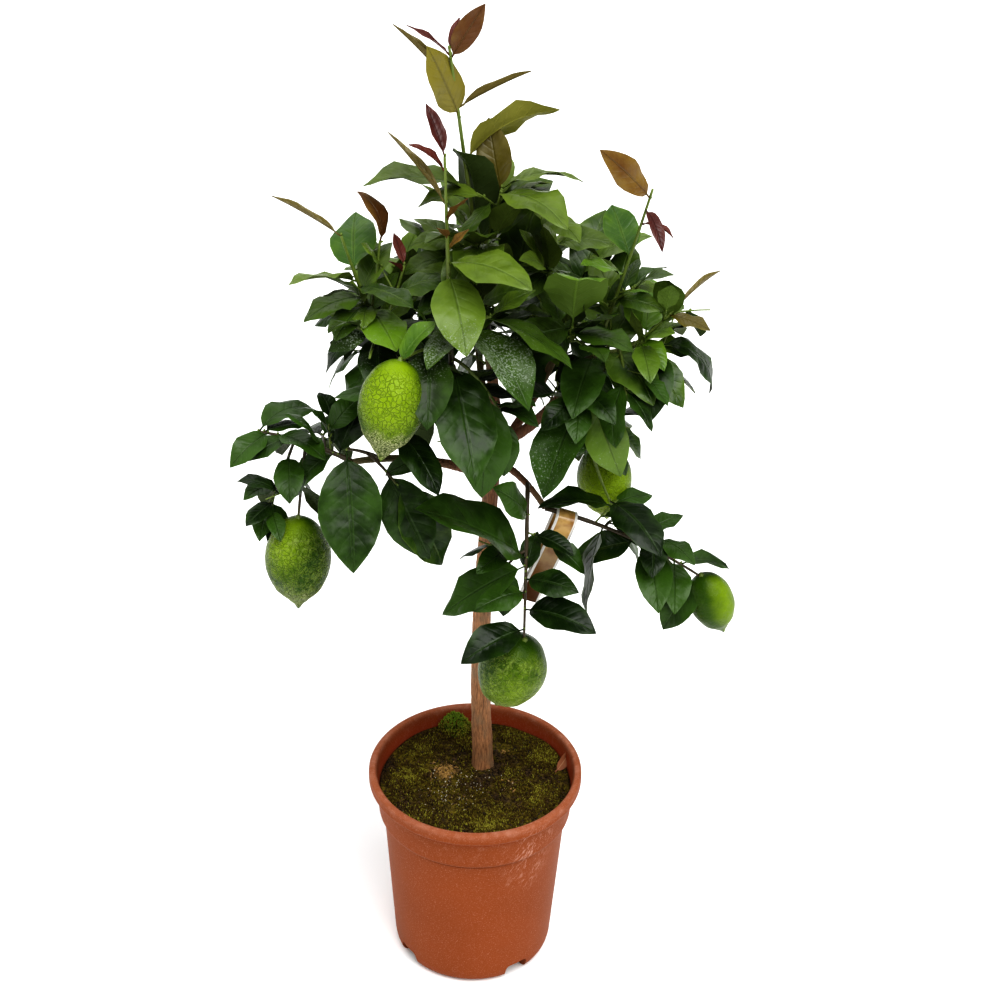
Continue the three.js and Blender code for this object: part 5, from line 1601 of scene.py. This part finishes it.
class BarkOperator(bpy.types.Operator):
    """Builds the trunk and its boughs as one skin of bark"""
    bl_idname = "lemon_tree.bark"
    bl_label = "Trunk and boughs"

    TRUNK_SIDES = 24
    TRUNK_RINGS = 60
    BOUGH_SIDES = 16
    # How far the trunk goes down into the soil, and its root flare's extra radius and height, in millimetres
    SUNK = 6
    FLARE = 1.2
    FLARE_HEIGHT = 9

    def execute(self, context):
        sizes = context.scene.lemon_bark
        tree = crown()
        limbs = Skins()
        ends = [radius * MM for radius in TRUNK_RADII]

        def radius_at(place):
            flare = self.FLARE * MM * math.exp(-place * tree.trunk.length / (self.FLARE_HEIGHT * MM))
            return lerp(ends, place) + flare

        rings = tube_rings(tree.trunk, radius_at, self.TRUNK_SIDES, np.linspace(0, 1, self.TRUNK_RINGS))
        rings[0] += np.array(Vector((0, 0, -self.SUNK * MM)))
        limbs.add(rings, np.zeros((len(rings) * self.TRUNK_SIDES, 4)))
        for curve, radii in tree.boughs.values():
            places = np.linspace(0, 1, max(12, int(curve.length / (5 * MM))))
            bough = tube_rings(curve, lambda place: lerp(radii, place), self.BOUGH_SIDES, places)
            limbs.add(bough, np.zeros((len(bough) * self.BOUGH_SIDES, 4)))
        bark = limbs.piece("bark", [bark_finish(sizes)])
        remesh = bark.modifiers.new("one_skin", "REMESH")
        remesh.mode = "VOXEL"
        remesh.voxel_size = sizes.grain
        baked(bark)
        self.shape(bark.data, sizes, tree)
        settle(bark, "trunk_bark", "trunk", *BOUGHS)
        return {"FINISHED"}

    def shape(self, mesh, sizes, tree):
        """Raises the bark's ridges and knots, and keeps how young the wood is at each point."""
        bm = bmesh.new()
        bm.from_mesh(mesh)
        for _ in range(2):
            bmesh.ops.smooth_vert(bm, verts=bm.verts[:], factor=0.5, use_axis_x=True, use_axis_y=True,
                                  use_axis_z=True)
        bm.normal_update()
        fork = tree.trunk.point(1)
        ages = []
        moves = []
        for vert in bm.verts:
            point = vert.co
            on_trunk = math.dist(point.xy, tree.trunk.at(trunk_place(point.z)).xy) < 0.0115
            away = 0 if on_trunk and point.z < 0.565 else (point - fork).length
            age = clipped((away - 0.02) / 0.09)
            ridge = noise.fractal(Vector((point.x, point.y, point.z * 0.16)) * 420, 0.7, 2, 4)
            knot = noise.noise(Vector((point.x, point.y, point.z * 0.6)) * 60)
            rise = ridge * sizes.relief * (1 - 0.7 * age) + knot * 0.0003 * (1 - 0.5 * age)
            moves.append(vert.normal * rise)
            ages.append(age)
        for vert, move in zip(bm.verts, moves):
            vert.co += move
        bm.to_mesh(mesh)
        bm.free()
        mesh.shade_smooth()
        mark(mesh, "age", ages)


def trunk_place(height):
    """Rough place on the trunk at a height."""
    low, high = TRUNK[0][2] * MM, TRUNK[-1][2] * MM
    return clipped((height - low) / (high - low))


class TwigOperator(bpy.types.Operator):
    """Builds the green shoots, the fine twigs, their buds and the lemons' stalks"""
    bl_idname = "lemon_tree.twigs"
    bl_label = "Twigs"

    # Distance between a twig's rings, that between its joints over half a turn, how much thicker a joint
    # is, and the radius of a twig that is all brown
    RING_STEP = 0.006
    JOINT_STEP = 0.0035
    JOINT = 0.16
    BROWN_RADIUS = 0.0026
    # Outlines of a bud and of the cup at a lemon: place along it and radius
    BUD = [(0, 0.0007), (0.45, 0.0011)]
    CUP = [(0, 0.0016), (0.35, 0.0022), (0.7, 0.0052), (0.9, 0.0055)]

    def execute(self, context):
        chance = np.random.default_rng(SEED + 2)
        twigs = Skins()
        for shoot in crown().shoots.values():
            start, end = shoot["radii"]
            brown = 1 if "low" in shoot["mass"] else 0
            self.add_twig(twigs, shoot["curve"], start, end, 10, chance, brown)
        for curve, (start, end) in crown().fine:
            self.add_twig(twigs, curve, start, end, 6, chance)
        for leaf in crown().leaves:
            self.add_bud(twigs, leaf)
        for name, axis, *_ in crown().lemons:
            self.add_stalk(twigs, crown().shoots[name]["curve"].point(1), axis)
        piece = twigs.piece("twigs", [twig_finish()])
        settle(piece, "foliage", *MASSES)
        return {"FINISHED"}

    def add_twig(self, twigs, curve, start, end, sides, chance, brown=0):
        """One twig, a little thicker at its joints."""
        places = np.linspace(0, 1, max(4, int(curve.length / self.RING_STEP)))
        phase = chance.uniform(0, 6)

        def radius_at(place):
            joint = math.sin(place * curve.length / self.JOINT_STEP + phase) ** 8
            return lerp((start, end), place) * (1 + self.JOINT * joint)

        rings = tube_rings(curve, radius_at, sides, places)
        marks = np.zeros((len(places) * sides + 1, 4))
        marks[:-1, 1] = np.repeat(places, sides)
        marks[-1, 1] = 1
        marks[:, 2] = start / self.BROWN_RADIUS + brown
        twigs.add(rings, marks, tip=np.array(curve.point(1) + curve.along(1) * end))

    def add_bud(self, twigs, leaf):
        """Small bud in the fork of a leaf's stalk."""
        way = (leaf.along + leaf.upper * 1.2).normalized()
        self.add_knob(twigs, leaf.root + leaf.upper * 0.0006, way, self.BUD, 0.0032, sides=5, tone=0.35)

    def add_stalk(self, twigs, point, axis):
        """Lobed green cup where a lemon hangs from its shoot."""
        self.add_knob(twigs, point - axis * 0.005, axis, self.CUP, 0.0065, sides=10, tone=0.2, lobes=0.25)

    def add_knob(self, twigs, foot, way, outline, length, sides, tone, lobes=0):
        """Small closed form along a way, with five lobes if asked."""
        across = beside(way)
        aside = way.cross(across)
        rings = []
        for place, radius in outline:
            middle = foot + way * (place * length)
            rings.append([middle + (across * math.cos(a) + aside * math.sin(a)) * radius
                          * (1 + lobes * place * math.cos(5 * a)) for a in even_angles(sides)])
        marks = np.tile((0, 0.5, tone, 0), (len(outline) * sides + 1, 1))
        twigs.add(np.array(rings), marks, tip=np.array(foot + way * length))


class LeavesOperator(bpy.types.Operator):
    """Builds the leaves, those of each tint in one piece"""
    bl_idname = "lemon_tree.leaves"
    bl_label = "Leaves"

    def execute(self, context):
        chance = np.random.default_rng(SEED + 3)
        sizes = context.scene.lemon_leaves
        blades = {tint: Skins() for tint in TINTS}
        for leaf in crown().leaves:
            add_leaf(blades[leaf.tint], leaf, sizes, chance)
        for tint, skins in blades.items():
            finishes = [leaf_finish(tint, False), leaf_finish(tint, True)]
            settle(skins.piece("leaves_" + tint, finishes), "foliage", *MASSES)
        return {"FINISHED"}


class LemonOperator(bpy.types.Operator):
    """Builds the lemons, with the net on their rind and their nipples"""
    bl_idname = "lemon_tree.lemons"
    bl_label = "Lemons"

    # Ripeness of each lemon with painted light and shade in it, the strength of its net, how pale the net is,
    # and the side that is painted lighter as if lit
    KINDS = {
        "front_fruit": (-0.05, 1, 0.1, (-0.1, -0.75, 0.65)),
        "low_fruit": (-0.42, 0.9, 0.6, (-0.5, -0.5, 0.7)),
        "drop": (-0.02, 0.9, 0.7, (0.1, -0.4, -0.25)),
        "reach": (-0.35, 0.15, 0, (0.7, -0.6, 0.3)),
        "hang_fruit": (0.1, 0.5, 0.3, (0, -1, 0)),
    }
    RINGS = 72
    STEPS = 112
    # Cells of the net to a metre, how far their borders bend, the share of a cell that the net's lines
    # take, and the depth of the furrows
    CELLS = 150
    BEND = 0.004
    LINE = 0.28
    FURROW = 0.0006

    def execute(self, context):
        sizes = context.scene.lemon_fruit
        basket = bmesh.new()
        outline = through([Vector((radius, 0, place)) for place, radius in LEMON_OUTLINE])
        half = [outline.at(i / self.RINGS) for i in range(self.RINGS + 1)]
        for index, (name, axis, length, radius) in enumerate(crown().lemons):
            bm = turned([(max(0, p.x) * radius * self.waist(p.z), p.z * length) for p in half], self.STEPS)
            bm.normal_update()
            layers = [bm.verts.layers.float.new(kept) for kept in RIND_MARKS]
            turn = axis.to_track_quat("Z", "Y").to_matrix().to_4x4()
            ripe, strength, pale, side = self.KINDS[name]
            side = turn.to_3x3().transposed() @ Vector(side)
            for vert in bm.verts:
                # Painted light: the rind is made riper, so lighter, on the side facing the light, and darker
                # as shade at the far edges
                riper_and_lit = ripe + 1.1 * vert.normal.dot(side)
                self.shape(vert, layers, sizes, index, (riper_and_lit, strength, pale), length)
            stalk = crown().shoots[name]["curve"].point(1) - axis * LEMON_SINK * MM
            bm.transform(Matrix.Translation(stalk) @ turn)
            lemon = bpy.data.meshes.new(name)
            bm.to_mesh(lemon)
            bm.free()
            basket.from_mesh(lemon)
            bpy.data.meshes.remove(lemon)
        settle(object_of("lemons", basket, rind_finish(sizes)), "foliage", *MASSES)
        return {"FINISHED"}

    def waist(self, place):
        """How a lemon swells before its nipple and draws in above it."""
        swell = 0.03 * math.exp(-((place - 0.76) / 0.06) ** 2)
        return 1 + swell - 0.2 * math.exp(-((place - 0.94) / 0.035) ** 2)

    def shape(self, vert, layers, sizes, index, kind, length):
        """Raises the rind's net and furrows at a point, and keeps them for the finish."""
        ripe, strength, pale = kind
        point = vert.co + Vector((0, 0, index))
        bend = noise.noise_vector(point * 90) * self.BEND
        near, far = noise.voronoi((point + bend) * self.CELLS)[0][:2]
        net = max(0, 1 - (far - near) / self.LINE)
        patch = 0.5 + 0.5 * noise.noise(point * 40)
        place = vert.co.z / length
        ends = clipped((place - 0.04) / 0.1) * clipped((0.99 - place) / 0.06)
        rise = net * patch * strength * ends
        furrow = noise.noise(point * 55) * self.FURROW * ends
        riper_and_lit = ripe + 0.2 * noise.noise(point * 30)
        for layer, value in zip(layers, (strength * ends, riper_and_lit, place, pale * (0.3 + rise))):
            vert[layer] = value
        vert.co += vert.normal * (rise * sizes.relief + furrow)


class LabelOperator(bpy.types.Operator):
    """Builds the plain strip label that is looped round a shoot"""
    bl_idname = "lemon_tree.label"
    bl_label = "Label"

    SHOOT = "reach"
    PLACE = 0.12
    # In millimetres: how far the strip hangs, its width, the half width of its loop and the thickness of the
    # card. The join of the two sides lies at this share of the length.
    LENGTH, WIDTH, SPREAD, CARD = 88, 19, 9, 0.9
    JOIN = 0.86
    # Points across the strip
    COLUMNS = 9

    def execute(self, context):
        shoot = crown().shoots[self.SHOOT]
        along = shoot["curve"].along(self.PLACE)
        up = square(UP, along)
        side = up.cross(along)
        radius = lerp(shoot["radii"], self.PLACE)
        seat = shoot["curve"].point(self.PLACE) + up * (radius + (GAP - self.SPREAD) * MM)
        half = self.centre_line()
        rings, marks = [], []
        length = sum(math.dist(a, b) for a, b in zip(half, half[1:]))
        gone = 0
        columns = np.linspace(-1, 1, self.COLUMNS)
        for i, point in enumerate(half):
            before, after = half[max(0, i - 1)], half[min(len(half) - 1, i + 1)]
            gone += math.dist(point, half[i - 1]) if i else 0
            tangent = Vector((after[0] - before[0], after[1] - before[1])).normalized()
            outward = side * -tangent.y + up * tangent.x
            middle = seat + (side * point[0] + up * point[1]) * MM
            lift = outward * self.CARD / 2 * MM
            face = [middle + along * c * self.WIDTH / 2 * MM + lift for c in columns]
            back = [middle + along * c * self.WIDTH / 2 * MM - lift for c in reversed(columns)]
            rings.append(face + back)
            marks += [(c, gone / length, 0, 0) for c in [*columns, *reversed(columns)]]
        strip = Skins()
        strip.add(np.array(rings), np.array(marks))
        settle(strip.piece("label_strip", [card_finish()]), "label", "loop_label")
        return {"FINISHED"}

    def centre_line(self):
        """Middle of the card, from its tail round the loop and down to the join, in millimetres."""
        spread = self.SPREAD + self.CARD / 2
        join = -self.LENGTH * self.JOIN
        tail = [(-self.CARD / 2, -self.LENGTH + k * (self.LENGTH + join) / 4) for k in range(4)]
        rise = [self.side(-spread, join, k / 10) for k in range(11)]
        turns = [math.pi * k / 12 for k in range(1, 12)]
        over = [(-spread * math.cos(turn), spread * math.sin(turn)) for turn in turns]
        fall = [self.side(spread, join, k / 10) for k in reversed(range(11))]
        return tail + rise + over + fall + [(-x, z) for x, z in reversed(tail)]

    def side(self, spread, join, share):
        """Point of a side of the loop, from the join up to the half circle."""
        start, turn = math.copysign(self.CARD / 2, spread), join / 2
        x = start * (1 - share) ** 2 + spread * 2 * share * (1 - share) + spread * share ** 2
        return x, join * (1 - share) ** 2 + turn * 2 * share * (1 - share)


GROUPS = {
    "lemon_stage": StageSizes, "lemon_pot": PotSizes, "lemon_soil": SoilSizes, "lemon_bark": BarkSizes,
    "lemon_leaves": LeafSizes, "lemon_fruit": LemonSizes,
}
OPERATORS = (
    StageOperator, PotOperator, SoilOperator, MossOperator, BarkOperator, TwigOperator, LeavesOperator,
    LemonOperator, LabelOperator,
)


class LemonTreePanel(bpy.types.Panel):
    """Lists the steps that build the tree, and the sizes that they read"""
    bl_idname = "VIEW3D_PT_lemon_tree"
    bl_label = "Potted lemon tree"
    bl_space_type = "VIEW_3D"
    bl_region_type = "UI"
    bl_category = "Lemon Tree"

    def draw(self, context):
        for step in OPERATORS:
            self.layout.operator(step.bl_idname)
        for name, group in GROUPS.items():
            box = self.layout.box()
            for field in group.__annotations__:
                box.prop(getattr(context.scene, name), field)


def register():
    for item in (*GROUPS.values(), *OPERATORS, LemonTreePanel):
        bpy.utils.register_class(item)
    for name, group in GROUPS.items():
        setattr(bpy.types.Scene, name, PointerProperty(type=group))


def unregister():
    for name in GROUPS:
        delattr(bpy.types.Scene, name)
    for item in reversed((*GROUPS.values(), *OPERATORS, LemonTreePanel)):
        bpy.utils.unregister_class(item)


def main():
    register()
    # Blender's vector noise starts from the clock otherwise
    noise.seed_set(SEED)
    for step in OPERATORS:
        getattr(bpy.ops.lemon_tree, step.bl_idname.split(".")[1])()


if __name__ == "__main__":
    main()
